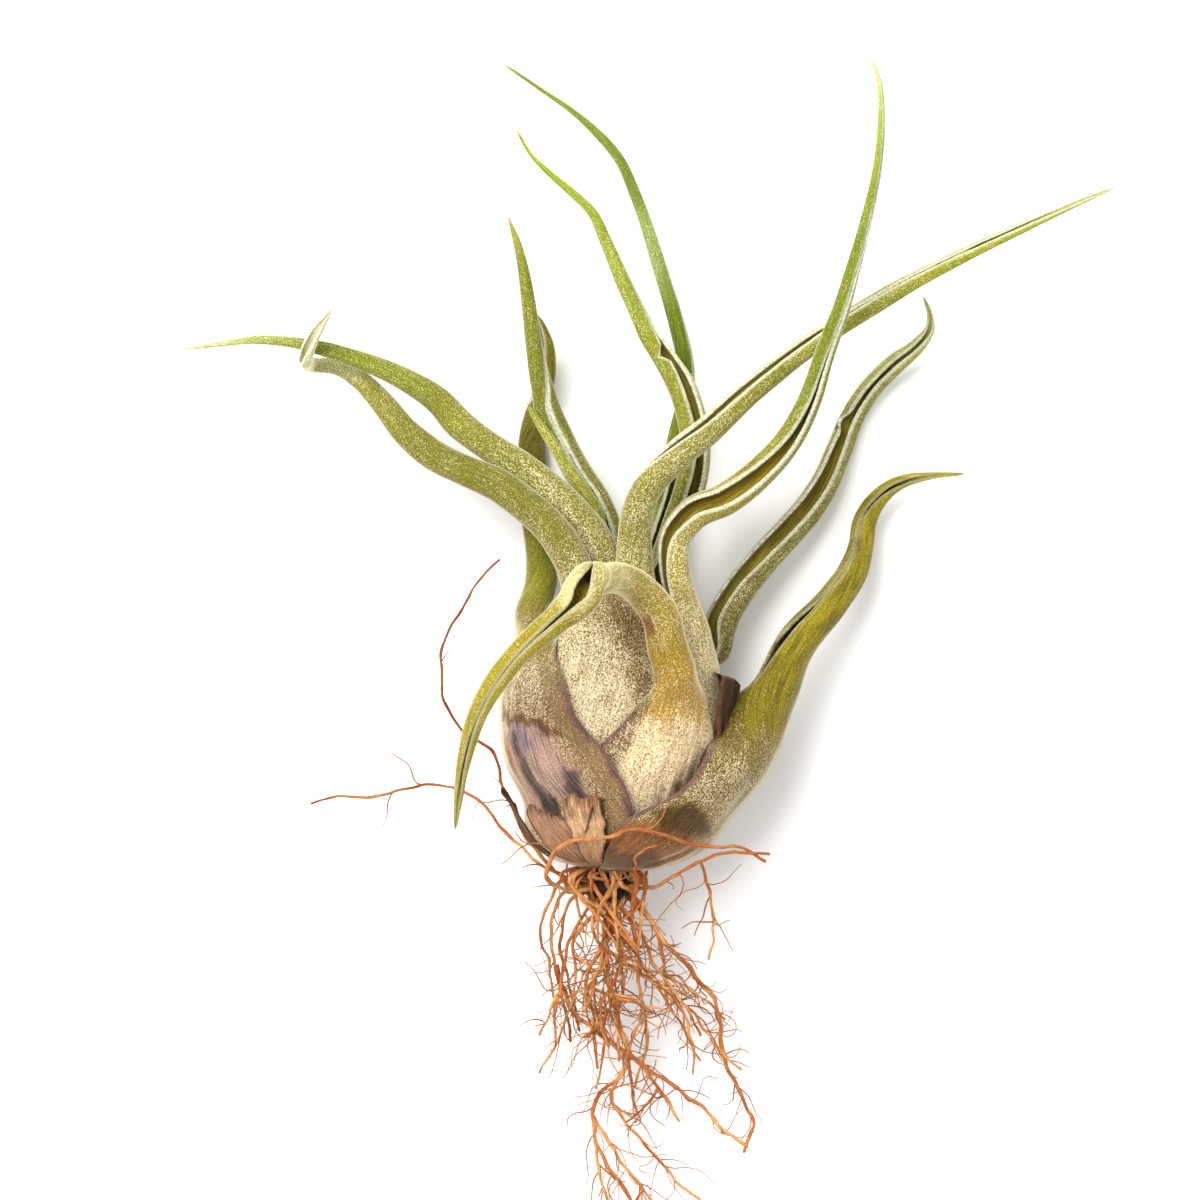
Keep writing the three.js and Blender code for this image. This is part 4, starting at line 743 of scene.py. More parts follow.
class PieceMesh:
    """Points, faces and point values of one piece, gathered part by part."""

    def __init__(self):
        self.points, self.faces, self.values, self.count = [], [], {}, 0

    def add(self, points, faces, **values):
        """Adds points and the faces between them, and returns the first point's number."""
        start = self.count
        self.points.append(np.asarray(points, float).reshape(-1, 3))
        self.count += len(self.points[-1])
        self.faces.extend([[start + i for i in face] for face in faces])
        for key, value in values.items():
            self.values.setdefault(key, []).append(np.asarray(value, float))
        return start

    def add_sheet(self, skin, lining, tissue, inner_shade, surface):
        """Adds a thin closed sheet whose inner face is darker."""
        ring = closed_section(skin, lining)
        rows, around = ring.shape[:2]
        across = skin.shape[1] - 1
        colours = spread_section(tissue, tissue * inner_shade, tissue[:, -1], tissue[:, 0])
        start = self.add(
            ring, ring_faces(0, rows, around), tissue=colours.reshape(-1, 3), surface=surface)
        self.faces.extend(cap_faces(start, across, True))
        self.faces.extend(cap_faces(start + (rows - 1) * around, across, False))

    def make(self, name, material, smooth_faces=True):
        """Makes the object in metres, with its values as point attributes."""
        mesh = bpy.data.meshes.new(name)
        points = (np.concatenate(self.points) + SEAT) * MM
        mesh.from_pydata(points.tolist(), [], self.faces)
        for key, parts in self.values.items():
            data = np.concatenate(parts)
            if key == "tissue":
                data = np.concatenate((data, np.ones((len(data), 1))), axis=1)
                layer, slot = mesh.color_attributes.new(key, "FLOAT_COLOR", "POINT"), "color"
            elif data.ndim == 2:
                layer, slot = mesh.attributes.new(key, "FLOAT_VECTOR", "POINT"), "vector"
            else:
                layer, slot = mesh.attributes.new(key, "FLOAT", "POINT"), "value"
            layer.data.foreach_set(slot, data.astype(np.float32).ravel())
        mesh.polygons.foreach_set("use_smooth", [smooth_faces] * len(mesh.polygons))
        mesh.materials.append(material)
        piece = bpy.data.objects.new(name, mesh)
        bpy.context.scene.collection.objects.link(piece)
        mesh.validate()
        return piece


def closed_section(skin, lining):
    """Joins skin and lining round their two rounded margins into closed rings."""
    lining = lining[:, ::2]
    rims = []
    for end, beside in ((-1, -2), (0, 1)):
        outer, inner = skin[:, end], lining[:, end]
        middle, arm = (outer + inner) / 2, (outer - inner) / 2
        size = np.linalg.norm(arm, axis=1, keepdims=True)
        away = unit(skin[:, end] - skin[:, beside]) * size
        rims.append([middle + arm * c + away * s * 1.15 for c, s in ((0.5, 0.87), (-0.5, 0.87))])
    right = np.stack(rims[0], axis=1)
    left = np.stack(rims[1][::-1], axis=1)
    return np.concatenate((skin, right, lining[:, ::-1], left), axis=1)


def spread_section(skin_value, lining_value, rim_right, rim_left):
    """Lays out one value or colour per point in the order of closed_section."""
    right, left = (np.repeat(rim[:, None], 2, axis=1) for rim in (rim_right, rim_left))
    return np.concatenate((skin_value, right, lining_value[:, ::2][:, ::-1], left), axis=1)


def surface_section(arcs, along, rim_along, inner_shift, rim_shift, number):
    """Surface coordinates in the order of closed_section: across, along and the piece's number."""
    across = spread_section(
        arcs, arcs + inner_shift, arcs[:, -1] + rim_shift, arcs[:, 0] - rim_shift)
    lengthwise = spread_section(along, along, *rim_along)
    return np.stack((across, lengthwise, np.full(across.shape, number)), axis=-1).reshape(-1, 3)


def ring_faces(start, rows, around):
    """Quads between rows of points that close round."""
    i, j = np.meshgrid(np.arange(rows - 1), np.arange(around), indexing="ij")
    k = (j + 1) % around
    quads = np.stack((i * around + j, i * around + k, (i + 1) * around + k,
                      (i + 1) * around + j), axis=-1) + start
    return quads.reshape(-1, 4).tolist()


def halving_faces(start_a, across_a, start_b):
    """Faces from a row with across_a steps over its skin to the next row with half as many."""
    across_b = across_a // 2
    pairs = [(2 * k, k) for k in range(across_b + 1)]
    pairs += [(across_a + 1 + k, across_b + 1 + k) for k in range(2)]
    first_a, first_b = across_a + 3, across_b + 3
    pairs += [(first_a + 2 * k, first_b + k) for k in range(across_b // 2 + 1)]
    last_a, last_b = first_a + across_a // 2 + 1, first_b + across_b // 2 + 1
    pairs += [(last_a + k, last_b + k) for k in range(2)]
    around_a = last_a + 2
    faces = []
    for n, (a, b) in enumerate(pairs):
        a1, b1 = pairs[(n + 1) % len(pairs)]
        if a1 < a:
            a1 += around_a
        chain = [start_a + i % around_a for i in range(a, a1 + 1)]
        faces.append(chain + [start_b + b1, start_b + b])
    return faces


def cap_faces(start, across, flip):
    """Faces that shut a closed section at one end."""
    lining = across // 2
    first = across + 3
    at_lining = [start + first + lining - k for k in range(lining + 1)]
    faces = [
        [start + 2 * k, start + 2 * k + 1, start + 2 * k + 2, at_lining[k + 1], at_lining[k]]
        for k in range(lining)
    ]
    faces.append([start + across, start + across + 1, start + across + 2, at_lining[lining]])
    last = start + first + lining + 1
    faces.append([at_lining[0], last, last + 1, start])
    return [face[::-1] for face in faces] if flip else faces


def sheath_stations(base, rows):
    """Sections of a sheath: a bowl that widens from the stem, then its rows."""
    y1, r1, shift1, azimuth1, half1, keel1 = rows[0]
    stem_radius = float(np.interp(base, *zip(*STEM_PROFILE)))
    base_radius = stem_radius + SEAT_GAP + SHEATH_THICKNESS
    first = math.radians(BOWL_TURNS[0])
    bowl = []
    for turn in BOWL_TURNS:
        a = math.radians(turn)
        grown = (math.cos(first) - math.cos(a)) / math.cos(first)
        spread = (math.sin(a) - math.sin(first)) / (1 - math.sin(first))
        bowl.append((
            base + (y1 - base) * grown, base_radius + (r1 - base_radius) * spread, shift1 * grown,
            azimuth1, half1 + BOWL_WRAP * (1 - grown), keel1 * grown,
        ))
    stations = []
    for y, radius, shift, azimuth, half, keel in bowl + list(rows):
        turn = math.radians(azimuth)
        outward = np.array((math.sin(turn), 0.0, math.cos(turn)))
        stations.append({
            "centre": np.array((BULB_AXIS[0], y, BULB_AXIS[1])) + outward * shift,
            "outward": outward, "normal": np.array((0.0, 1.0, 0.0)), "radius": radius,
            "half": half, "keel": keel, "depth": 1.0, "thickness": SHEATH_THICKNESS,
            "edge": SHEATH_EDGE, "channel": 1.0,
        })
    return stations


def blade_stations(rows):
    """Sections of a rolled blade, square to its line."""
    centres = np.array([row[:3] for row in rows], float)
    stations = []
    for i, (_, _, _, width, roll, half) in enumerate(rows):
        normal = unit(centres[min(len(rows) - 1, i + 1)] - centres[max(0, i - 1)])
        up = np.array((0.0, 0.0, 1.0))
        up = unit(up - normal * up.dot(normal))
        left = np.cross(up, normal)
        turn = math.radians(roll)
        stations.append({
            "centre": centres[i], "outward": -(up * math.cos(turn) + left * math.sin(turn)),
            "normal": normal, "radius": width / 2, "half": half, "keel": 0.0,
            "depth": BLADE_DEPTH, "thickness": min(BLADE_THICKNESS, width * 0.26),
            "edge": min(BLADE_EDGE, width * 0.16), "channel": float(smooth(1.2, 3.2, width)),
        })
    return stations


class LeafForm:
    """The smooth form of one leaf: every value of its section at a distance along its midrib."""

    def __init__(self, name):
        leaf = LEAVES[name]
        sheath = sheath_stations(leaf["base"], leaf["sheath"])
        stations = sheath + blade_stations(leaf["blade"])
        ribs = np.array([s["centre"] + s["outward"] * s["radius"] * s["depth"] for s in stations])
        apart = np.maximum(np.linalg.norm(np.diff(ribs, axis=0), axis=1), 0.5)
        self.knots = np.concatenate(([0.0], np.cumsum(apart)))
        self.neck = float(self.knots[len(sheath) - 1])
        self.seed = LEAF_SEEDS[0] + LEAF_SEEDS[1] * list(LEAVES).index(name)
        self.length = float(self.knots[-1])
        rows = {"rib": ribs, **{key: np.array([s[key] for s in stations])
                                for key in ("outward", "normal")}}
        self.vectors = {
            key: [through(self.knots, values[:, axis], False) for axis in range(3)]
            for key, values in rows.items()
        }
        scalars = {key: [s[key] for s in stations]
                   for key in ("keel", "depth", "thickness", "edge", "channel")}
        scalars["curve"] = [1 / s["radius"] for s in stations]
        scalars["reach"] = [s["radius"] * math.radians(s["half"]) for s in stations]
        self.scalars = {key: through(self.knots, v, True) for key, v in scalars.items()}

    def vector(self, key, s):
        return np.stack([part(s) for part in self.vectors[key]], axis=-1)

    def section(self, s, share):
        """Outer points, arc lengths and centres at distances s and shares across."""
        normal = unit(self.vector("normal", s))
        outward = self.vector("outward", s)
        outward = unit(outward - normal * np.sum(outward * normal, axis=1, keepdims=True))
        side = np.cross(normal, outward)
        radius = 1 / self.scalars["curve"](s)
        depth = self.scalars["depth"](s)
        centre = self.vector("rib", s) - outward * (radius * depth)[:, None]
        half = self.scalars["reach"](s) / radius
        turn = half[:, None] * share
        keel = self.scalars["keel"](s)[:, None]
        reach = radius[:, None] + keel * np.exp(-((radius[:, None] * turn) / KEEL_REACH) ** 2)
        up = (reach * np.cos(turn) * depth[:, None])[..., None] * outward[:, None, :]
        points = centre[:, None, :] + up + (reach * np.sin(turn))[..., None] * side[:, None, :]
        return points, radius[:, None] * turn, centre

    def distance_at(self, place):
        """Distance along the midrib that appears nearest to a place seen from above."""
        s = np.linspace(0, self.length, 600)
        x, y = seen_from_above(self.vector("rib", s))
        return float(s[np.argmin(np.hypot(x - place[0], y - place[1]))])


LeafRows = namedtuple("LeafRows", "skin lining facing arcs s reach from_margin")


def trimmed_shares(form, name, distances, across, rough):
    """Shares across a leaf, from -1 to 1, with waved and notched margins."""
    share = np.linspace(-1, 1, across + 1)[None, :] * np.ones((len(distances), 1))
    reach = form.scalars["reach"](distances)
    wavy = sum(height * rough(distances / length, seam) for height, length, seam in MARGIN_WAVES)
    trim = np.ones((len(distances), 2)) + (wavy / np.maximum(reach, 1.5))[:, None]
    for side, where, width, depth in NOTCHES.get(name, ()):
        s0 = form.distance_at(where)
        trim[:, max(side, 0)] -= depth * np.exp(-(((distances - s0) / width) ** 2)) / reach
    return np.where(share < 0, share * trim[:, :1], share * trim[:, 1:])


def leaf_rows(form, name, distances, across, rough):
    """Rows of points round a leaf, inside and out, with what its colours depend on."""
    share = trimmed_shares(form, name, distances, across, rough)
    skin, arcs, centres = form.section(distances, share)
    facing = unit(np.cross(np.gradient(skin, axis=1), np.gradient(skin, axis=0)))
    thickness = form.scalars["thickness"](distances)[:, None]
    edge = form.scalars["edge"](distances)[:, None]
    lining = skin - facing * (thickness + (edge - thickness) * share ** 2)[..., None]
    shut = (1 - form.scalars["channel"](distances))[:, None, None]
    sweep = ((share - share[:, :1]) / (share[:, -1:] - share[:, :1]))[..., None]
    chord = lining[:, :1] * (1 - sweep) + lining[:, -1:] * sweep
    lining = lining + (chord - lining) * shut

    s = distances[:, None] * np.ones_like(share)
    reach = form.scalars["reach"](distances)[:, None]
    from_margin = reach - np.abs(arcs)
    on_sheath = 1 - smooth(form.neck - 14, form.neck + 8, s)
    seam = form.seed * 3.7
    relief = on_sheath * rough.layers(arcs, s, seam, SHEATH_RELIEF)
    relief += (1 - on_sheath) * rough.layers(arcs, s, seam, BLADE_RELIEF)
    relief += rough.layers(arcs, s, seam, LEAF_RELIEF)
    spacing, height = RIDGES.get(name, PLAIN_RIDGES)
    crease = np.abs(rough(arcs / spacing + seam * 2 + 0.5 * rough(arcs / 5, s / 6), s / 26))
    relief += on_sheath * height * (0.6 - 2.2 * np.maximum(0, 0.4 - crease))
    relief *= smooth(0, 1.2, from_margin) * smooth(0.3, 2.2, reach)
    skin = skin + facing * np.maximum(relief, -DEEPEST_DENT)[..., None]
    if name == SEATED_LEAF:
        lining[..., 2] = np.maximum(lining[..., 2], PRESSED_WALL)
        skin[..., 2] = np.maximum(skin[..., 2], 0.0)
    taper = (0.12 + 0.88 * smooth(0, 2.2, form.length + 0.4 - distances))[:, None, None]
    middle = centres[:, None, :] + (skin.mean(axis=1) - centres)[:, None, :] * 0.6
    return LeafRows(
        skin=middle + (skin - middle) * taper, lining=middle + (lining - middle) * taper,
        facing=facing, arcs=arcs, s=s, reach=reach, from_margin=from_margin)


def leaf_colours(form, name, rows, rough):
    """Tissue colour, scale cover, white fringe with painted rim light, and place of each outer
    point.
    """
    arcs, s = rows.arcs, rows.s
    place = np.where(s < form.neck, s / form.neck, 1 + (s - form.neck) / (form.length - form.neck))
    stops = PALETTES[name]["stops"]
    uneven_place = place + 0.03 * rough(arcs / 3, s / 9)
    tissue = colour_along(stops, uneven_place)
    tissue = tissue * (1 + 0.12 * rough(arcs / 2.2 + 5, s / 8))[..., None]
    cover = np.interp(uneven_place, [stop[0] for stop in stops], [stop[2] for stop in stops])
    cover = cover + 0.06 * rough(arcs / 2.6, s / 4.5 + 11)
    for side, width, colour, strength, first, last in MARGINS.get(name, ()):
        from_side = rows.reach - side * arcs + 0.35 * rough(s / 2.1, arcs / 2)
        band = (1 - smooth(width * 0.7, width * 1.15, from_side)) * strength
        band *= smooth(first - 0.06, first + 0.02, place)
        band *= 1 - smooth(last - 0.05, last + 0.06, place)
        tissue = painted(tissue, colour, band)
        cover = cover * (1 - 0.6 * band)
    x, y = seen_from_above(rows.skin)
    for outline, soft, ragged, colour, strength, thin in PATCHES.get(name, ()):
        dx = ragged * (rough(x / 1.3 + 3, y / 2.6) + 0.5 * rough(x / 0.5, y / 0.9))
        dy = ragged * (rough(x / 1.1, y / 2.1 + 8) + 0.5 * rough(x / 0.4 + 4, y / 0.8))
        amount = inside(x + dx, y + dy, outline, soft) * strength
        amount *= smooth(0.0, 0.35, rows.facing[..., 2])
        tissue = painted(tissue, colour, amount)
        cover = cover + (thin - cover) * amount
    # Fringe along a blade's margins: denser scales there, and painted rim light
    fringe = np.exp(-((rows.from_margin / FRINGE_AND_RIM_LIGHT_WIDTH) ** 2)) * smooth(0.97, 1.06, place)
    return tissue, np.clip(cover, 0, 1), fringe, place


def build_leaf(name, material, settings):
    """One leaf's finer form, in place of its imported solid, with its colours as point values."""
    form = LeafForm(name)
    rough = Unevenness(form.seed)
    piece = PieceMesh()
    spacing = settings.row_spacing / MM
    channel = np.array(srgb(*PALETTES[name]["channel"]))
    lined = PALETTES[name].get("lining", LINING_COVER)
    # Rolled margins are paler by their scales and by painted rim light, as RIMS gives
    white = RIMS.get(name, 1.0)
    rim_share = 0.75 + 0.4 * white
    previous = None
    for first, last, across, step in (
        (0.0, form.neck, SHEATH_ACROSS, spacing * SHEATH_ROWS),
        (form.neck, form.length, SHEATH_ACROSS // 2, spacing),
    ):
        count = max(3, int(round((last - first) / step)))
        distances = np.linspace(first, last, count + 1)[1 if previous else 0:]
        rows = leaf_rows(form, name, distances, across, rough)
        arcs, s = rows.arcs, rows.s
        tissue, cover, fringe, place = leaf_colours(form, name, rows, rough)
        deep = channel * (0.85 + 0.3 * rough(arcs / 2, s / 6))[..., None]
        near_rim = np.exp(-((rows.from_margin / RIM_WIDTH) ** 2))
        tipward = smooth(1.74, 1.88, place)
        deep = blend(deep, tissue, np.maximum(0.35 * near_rim, 0.8 * tipward))
        inner_cover = lined + 0.1 * near_rim + 0.26 * tipward
        on_blade = 0.8 * white * smooth(form.neck, form.neck + 4, distances)
        ring = closed_section(rows.skin, rows.lining)
        around = ring.shape[1]
        start = piece.add(
            ring, ring_faces(0, len(distances), around),
            tissue=spread_section(
                tissue, deep, rim_share * tissue[:, -1], rim_share * tissue[:, 0]).reshape(-1, 3),
            cover=spread_section(
                cover, inner_cover, 0.8 * cover[:, -1], 0.8 * cover[:, 0]).ravel(),
            fringe=spread_section(
                0.6 * white * fringe, np.zeros_like(fringe), on_blade, on_blade).ravel(),
            surface=surface_section(arcs, s, (s[:, -1], s[:, 0]), 60, 1, form.seed * 17.0))
        if previous:
            piece.faces.extend(halving_faces(*previous, start))
        else:
            piece.faces.extend(cap_faces(start, across, True))
        previous = (start + (len(distances) - 1) * around, across)
    piece.faces.extend(cap_faces(*previous, False))
    made = piece.make(name + "_fine", material)
    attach(made, "root")
    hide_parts(name)
    return made


def point_values(mesh, layers, key, slot, width):
    """One attribute of all points as rows."""
    values = np.empty(len(mesh.vertices) * width)
    layers[key].data.foreach_get(slot, values)
    return values.reshape(-1, width) if width > 1 else values


def build_scales(leaf, name, material, settings):
    """Silver scale hairs on a leaf: small closed spikes that lean towards its tip."""
    mesh = leaf.data
    points = np.empty(len(mesh.vertices) * 3)
    mesh.vertices.foreach_get("co", points)
    points = points.reshape(-1, 3) / MM
    tissue = point_values(mesh, mesh.color_attributes, "tissue", "color", 4)[:, :3]
    cover = point_values(mesh, mesh.attributes, "cover", "value", 1)
    fringe = point_values(mesh, mesh.attributes, "fringe", "value", 1)
    quads = np.array([list(p.vertices) for p in mesh.polygons if len(p.vertices) == 4])
    a, b, c, d = (points[quads[:, k]] for k in range(4))
    across = np.cross(b - a, d - a)
    area = np.linalg.norm(across, axis=1)
    rim = fringe[quads].mean(axis=1)
    weight = area * (0.05 + cover[quads].mean(axis=1)) * (1 + settings.rim_share * rim)
    chance = np.random.RandomState(LeafForm(name).seed + HAIR_SEED)
    total = int(settings.hairs_per_mm2 * float((area * (1 + rim)).sum()) * 0.6)
    total = min(total, settings.most_hairs)
    chosen = chance.choice(len(quads), total, p=weight / weight.sum())
    u, v = chance.uniform(size=(2, total, 1))
    a, b, c, d = a[chosen], b[chosen], c[chosen], d[chosen]
    foot = (a * (1 - u) + b * u) * (1 - v) + (d * (1 - u) + c * u) * v
    out = unit(across[chosen])
    ahead = unit(d - a)
    aside = np.cross(out, ahead)
    length = settings.hair_length / MM * chance.uniform(0.6, 1.25, (total, 1))
    length = length * (1 + 0.7 * rim[chosen][:, None])
    lean = chance.uniform(0.35, 1.1, (total, 1))
    swing = chance.uniform(-0.8, 0.8, (total, 1))
    flat = ahead * np.cos(swing) + aside * np.sin(swing)
    aim = unit(out * np.cos(lean) + flat * np.sin(lean))
    wide = settings.hair_width / MM * chance.uniform(0.7, 1.2, (total, 1))
    turn = chance.uniform(0, 2 * math.pi, (total, 1))
    corners = []
    for k in range(3):
        angle = turn + k * 2 * math.pi / 3
        spread = (ahead * np.cos(angle) + aside * np.sin(angle)) * wide / 2
        corners.append(foot - out * HAIR_SINK + spread)
    corners.append(foot + aim * length)
    spikes = np.stack(corners, axis=1)
    faces = np.array(((0, 2, 1), (0, 1, 3), (1, 2, 3), (2, 0, 3)))[None]
    faces = faces + np.arange(total)[:, None, None] * 4
    colour = np.repeat(tissue[quads[chosen][:, 0]], 4, axis=0)
    piece = PieceMesh()
    piece.add(spikes.reshape(-1, 3) - SEAT, faces.reshape(-1, 3).tolist(), tissue=colour)
    made = piece.make(name + "_scales", material, smooth_faces=False)
    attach(made, "root")
    return made


def finer_rows(rows, count):
    """Rows of numbers resampled evenly from the first to the last."""
    rows = np.array(rows, float)
    knots = np.arange(len(rows), dtype=float)
    places = np.linspace(0, len(rows) - 1, count)
    columns = [through(knots, column, True)(places) for column in rows.T]
    return np.stack(columns, axis=1)


def build_bract(name, material, seed):
    """A torn papery bract: a thin curved shell with a ragged top edge and lengthwise creases."""
    bract = BRACTS[name]
    rough = Unevenness(seed)
    rows = finer_rows(bract["rows"], BRACT_ROWS)
    across = 10 * bract["across"]
    share = np.linspace(-1, 1, across + 1)[None, :]
    steps = share * across
    climb = np.linspace(0, 1, len(rows))[:, None]
    full = np.ones((len(rows), across + 1))
    y, radius, azimuth, half = (rows[:, c][:, None] for c in range(4))
    half = half * (1 + 0.10 * rough(climb * 9, 4) * np.abs(share))
    turn = np.radians(azimuth + half * share)
    ragged = 0.4 * rough(steps / 7.0, 2) + 0.18 * rough(steps / 2.6, 7)
    torn = np.interp(share[0], np.linspace(-1, 1, bract["across"] + 1), bract["torn"])[None, :]
    height = (y + (torn + ragged) * smooth(0.25, 1, climb) ** 2) * full
    crease = 0.10 * rough(steps / 3.1 + 5, climb * 3) + 0.34 * rough(steps / 13.0, climb * 3)
    crumple = smooth(0.3, 0.7, climb) * rough(share * 2.4 + 2 * climb, climb * 7 - share)
    crease += bract["lip"] * 0.5 * crumple
    lip = smooth(0.76, 0.90, climb) * (1 - smooth(0.94, 1.0, climb))
    curl = bract["lip"] * lip * (0.8 + 0.7 * rough(steps / 2.4 + 3, climb * 2))
    out = radius + (crease * smooth(0, 0.2, climb) + curl)

    def sheet(inset):
        r = out - inset
        return np.stack(
            (BULB_AXIS[0] + np.sin(turn) * r, height, BULB_AXIS[1] + np.cos(turn) * r), axis=-1)

    skin = sheet(0)
    lining = sheet(BRACT_EDGE + (BRACT_THICKNESS - BRACT_EDGE) * (1 - smooth(0.1, 0.7, climb)))
    place = np.clip(climb + 0.10 * rough(steps / 2.5, climb * 6), 0, 1)
    tissue = colour_along(bract["stops"], place)
    tissue *= (0.95 + 0.22 * rough(steps / 5.0, climb * 3 + 9))[..., None]
    worn = smooth(0.88, 1.0, climb) + smooth(0.85, 1.0, np.abs(share))
    tissue = painted(tissue, BRACT_WORN, np.clip(worn, 0, 1) * 0.6)
    # Dark spots in the curled lip: painted shade in its crumples
    tissue *= (1 - 0.7 * lip * smooth(0.2, 0.7, rough(steps / 1.5, climb * 2 + 9)))[..., None]
    seen_x, seen_y = seen_from_above(skin)
    for outline, soft, ragged_edge, colour, strength, _ in PATCHES.get(name, ()):
        drift = ragged_edge * rough(seen_x * 2, seen_y)
        tissue = painted(tissue, colour, inside(seen_x + drift, seen_y, outline, soft) * strength)
    arcs = np.radians(half * share) * radius
    rim = np.full(len(rows), 3.0)
    piece = PieceMesh()
    piece.add_sheet(skin, lining, tissue, 0.6,
                    surface_section(arcs, height, (rim, rim), 30, 0, seed * 11.0))
    made = piece.make(name + "_fine", material)
    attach(made, "root")
    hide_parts(name)
    return made


def build_withered(material):
    """The withered brown leaf between the right sheaths: a short dry sheath with no blade, its dark
    colour partly painted shade.
    """
    name = WITHERED
    form = LeafForm(name)
    rough = Unevenness(form.seed)
    distances = np.linspace(0, form.length, 70)
    rows = leaf_rows(form, name, distances, SHEATH_ACROSS // 2, rough)
    skin, lining, arcs, s = rows.skin, rows.lining, rows.arcs, rows.s
    place = s / form.length
    slant = WITHERED_SLANT * (np.linspace(0, 1, skin.shape[1]) - 0.2) * smooth(0.6, 1, place) ** 2
    skin[..., 1] -= slant
    lining[..., 1] -= slant
    body, top, rim = WITHERED_AND_SHADE_COLOURS
    # Dark brown, darker towards the top: the dry tissue with painted shade from the sheaths beside
    # it
    dry = np.array(srgb(*body)) * np.ones(s.shape + (1,))
    dry = painted(dry, top, smooth(0.5, 1, place + 0.3 * rough(arcs, s / 4)))
    dry = painted(dry, rim, smooth(0.965, 0.99, place))
    dry *= (0.85 + 0.3 * rough(arcs / 1.5, s / 9))[..., None]
    piece = PieceMesh()
    piece.add_sheet(skin, lining, dry, 0.7,
                    surface_section(arcs, s, (s[:, -1], s[:, 0]), 30, 0, 7.0))
    made = piece.make(name + "_fine", material)
    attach(made, "root")
    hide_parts(name)
    return made


def curve_through(points):
    """A centripetal curve through points, as closely spaced points."""
    points = np.array(points, float)
    ends = np.concatenate(([2 * points[0] - points[1]], points, [2 * points[-1] - points[-2]]))
    out = []
    t = np.linspace(0, 1, 17)[:-1, None]
    for p0, p1, p2, p3 in zip(ends, ends[1:], ends[2:], ends[3:]):
        d0, d1, d2 = (max(float(np.linalg.norm(b - a)) ** 0.5, 1e-3)
                      for a, b in ((p0, p1), (p1, p2), (p2, p3)))
        m1 = ((p1 - p0) / d0 - (p2 - p0) / (d0 + d1) + (p2 - p1) / d1) * d1
        m2 = ((p2 - p1) / d1 - (p3 - p1) / (d1 + d2) + (p3 - p2) / d2) * d1
        out.append((2 * t ** 3 - 3 * t ** 2 + 1) * p1 + (t ** 3 - 2 * t ** 2 + t) * m1
                   + (3 * t ** 2 - 2 * t ** 3) * p2 + (t ** 3 - t ** 2) * m2)
    out.append(points[-1:])
    return np.concatenate(out)


def evenly(points, spacing):
    """The same line with points a given distance apart."""
    steps = np.linalg.norm(np.diff(points, axis=0), axis=1)
    lengths = np.concatenate(([0.0], np.cumsum(steps)))
    count = max(2, int(round(lengths[-1] / spacing)))
    places = np.linspace(0, lengths[-1], count + 1)
    return np.stack([np.interp(places, lengths, points[:, c]) for c in range(3)], axis=1)


def add_tube(piece, line, radii, sides, colours, label, rough):
    """A closed round strand along a line."""
    ahead = unit(np.gradient(line, axis=0))
    side = np.array((1.0, 0.2, 0.1))
    frames = []
    for direction in ahead:
        side = unit(side - direction * side.dot(direction))
        frames.append((side, np.cross(direction, side)))
    sides_a, sides_b = (np.array(axes)[:, None, :] for axes in zip(*frames))
    turn = np.linspace(0, 2 * math.pi, sides, endpoint=False)[None, :, None]
    rows, around = np.arange(len(line))[:, None], np.arange(sides)[None, :]
    lumps = 1 + 0.16 * rough(rows / 1.7 + label * 9.1, around * 1.3)
    size = (radii[:, None] * lumps)[..., None]
    rings = line[:, None, :] + (sides_a * np.cos(turn) + sides_b * np.sin(turn)) * size
    points = np.concatenate((rings.reshape(-1, 3), line[:1], line[-1:] + ahead[-1:] * radii[-1]))
    faces = ring_faces(0, len(line), sides)
    first, last = len(line) * sides, len(line) * sides + 1
    end = (len(line) - 1) * sides
    for j in range(sides):
        k = (j + 1) % sides
        faces.append([first, k, j])
        faces.append([end + j, end + k, last])
    tint = np.concatenate((np.repeat(colours, sides, axis=0), colours[:1], colours[-1:]))
    shape = np.ones((len(line), sides))
    surface = np.stack((around * 0.4 * shape, rows * 0.6 * shape, label * 3.1 * shape), axis=-1)
    surface = surface.reshape(-1, 3)
    surface = np.concatenate((surface, surface[:1], surface[-1:]))
    piece.add(points, faces, tissue=tint, surface=surface)


PALE, RUST, DARK, AGED = (np.array(srgb(*colour)) for colour in ROOT_COLOURS)


class Chance:
    """The same draws as in the solids' source, from one counting number."""

    def __init__(self, state):
        self.state = state

    def draw(self):
        self.state = (self.state * 1664525 + 1013904223) % 4294967296
        return self.state / 4294967296

    def between(self, low, high):
        return low + (high - low) * self.draw()


def root_lines():
    """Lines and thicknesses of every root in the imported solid."""
    found = [(curve_through(route), radius) for radius, route in ROOT_ROUTES]
    chance = Chance(ROOT_SEED)
    for _ in range(FILLER_ROOTS):
        x = chance.between(-14, 16)
        length = chance.between(22, 44)
        start_x = chance.between(-3, 2)
        start_z = chance.between(20, 25)
        points = [(start_x, -26.4, start_z)]
        for t in (0.25, 0.5, 0.75, 1):
            height = 22 - 13 * min(1, length * t / 44)
            px = start_x + (x - start_x) * math.sqrt(t) + chance.between(-2.4, 2.4)
            points.append((px, -26 - length * t, height + chance.between(-2.5, 2.5)))
        found.append((curve_through(points), chance.between(0.36, 0.46)))
    tangle = len(found) - FIRST_TANGLE_ROUTE
    for _ in range(SIDE_ROOTS):
        parent = found[FIRST_TANGLE_ROUTE + int(chance.draw() * tangle)][0]
        line = evenly(parent, 0.25)
        start = line[int(chance.between(0.35, 0.85) * (len(line) - 1))]
        reach = chance.between(5, 12)
        lean = chance.between(-1.3, 1.3)
        points = [start]
        for t in (0.5, 1):
            px = start[0] + math.sin(lean) * reach * t + chance.between(-1, 1)
            points.append((px, start[1] - math.cos(lean) * reach * t,
                           max(1, start[2] + chance.between(-2, 2) * t)))
        found.append((curve_through(points), 0.33))
    return found


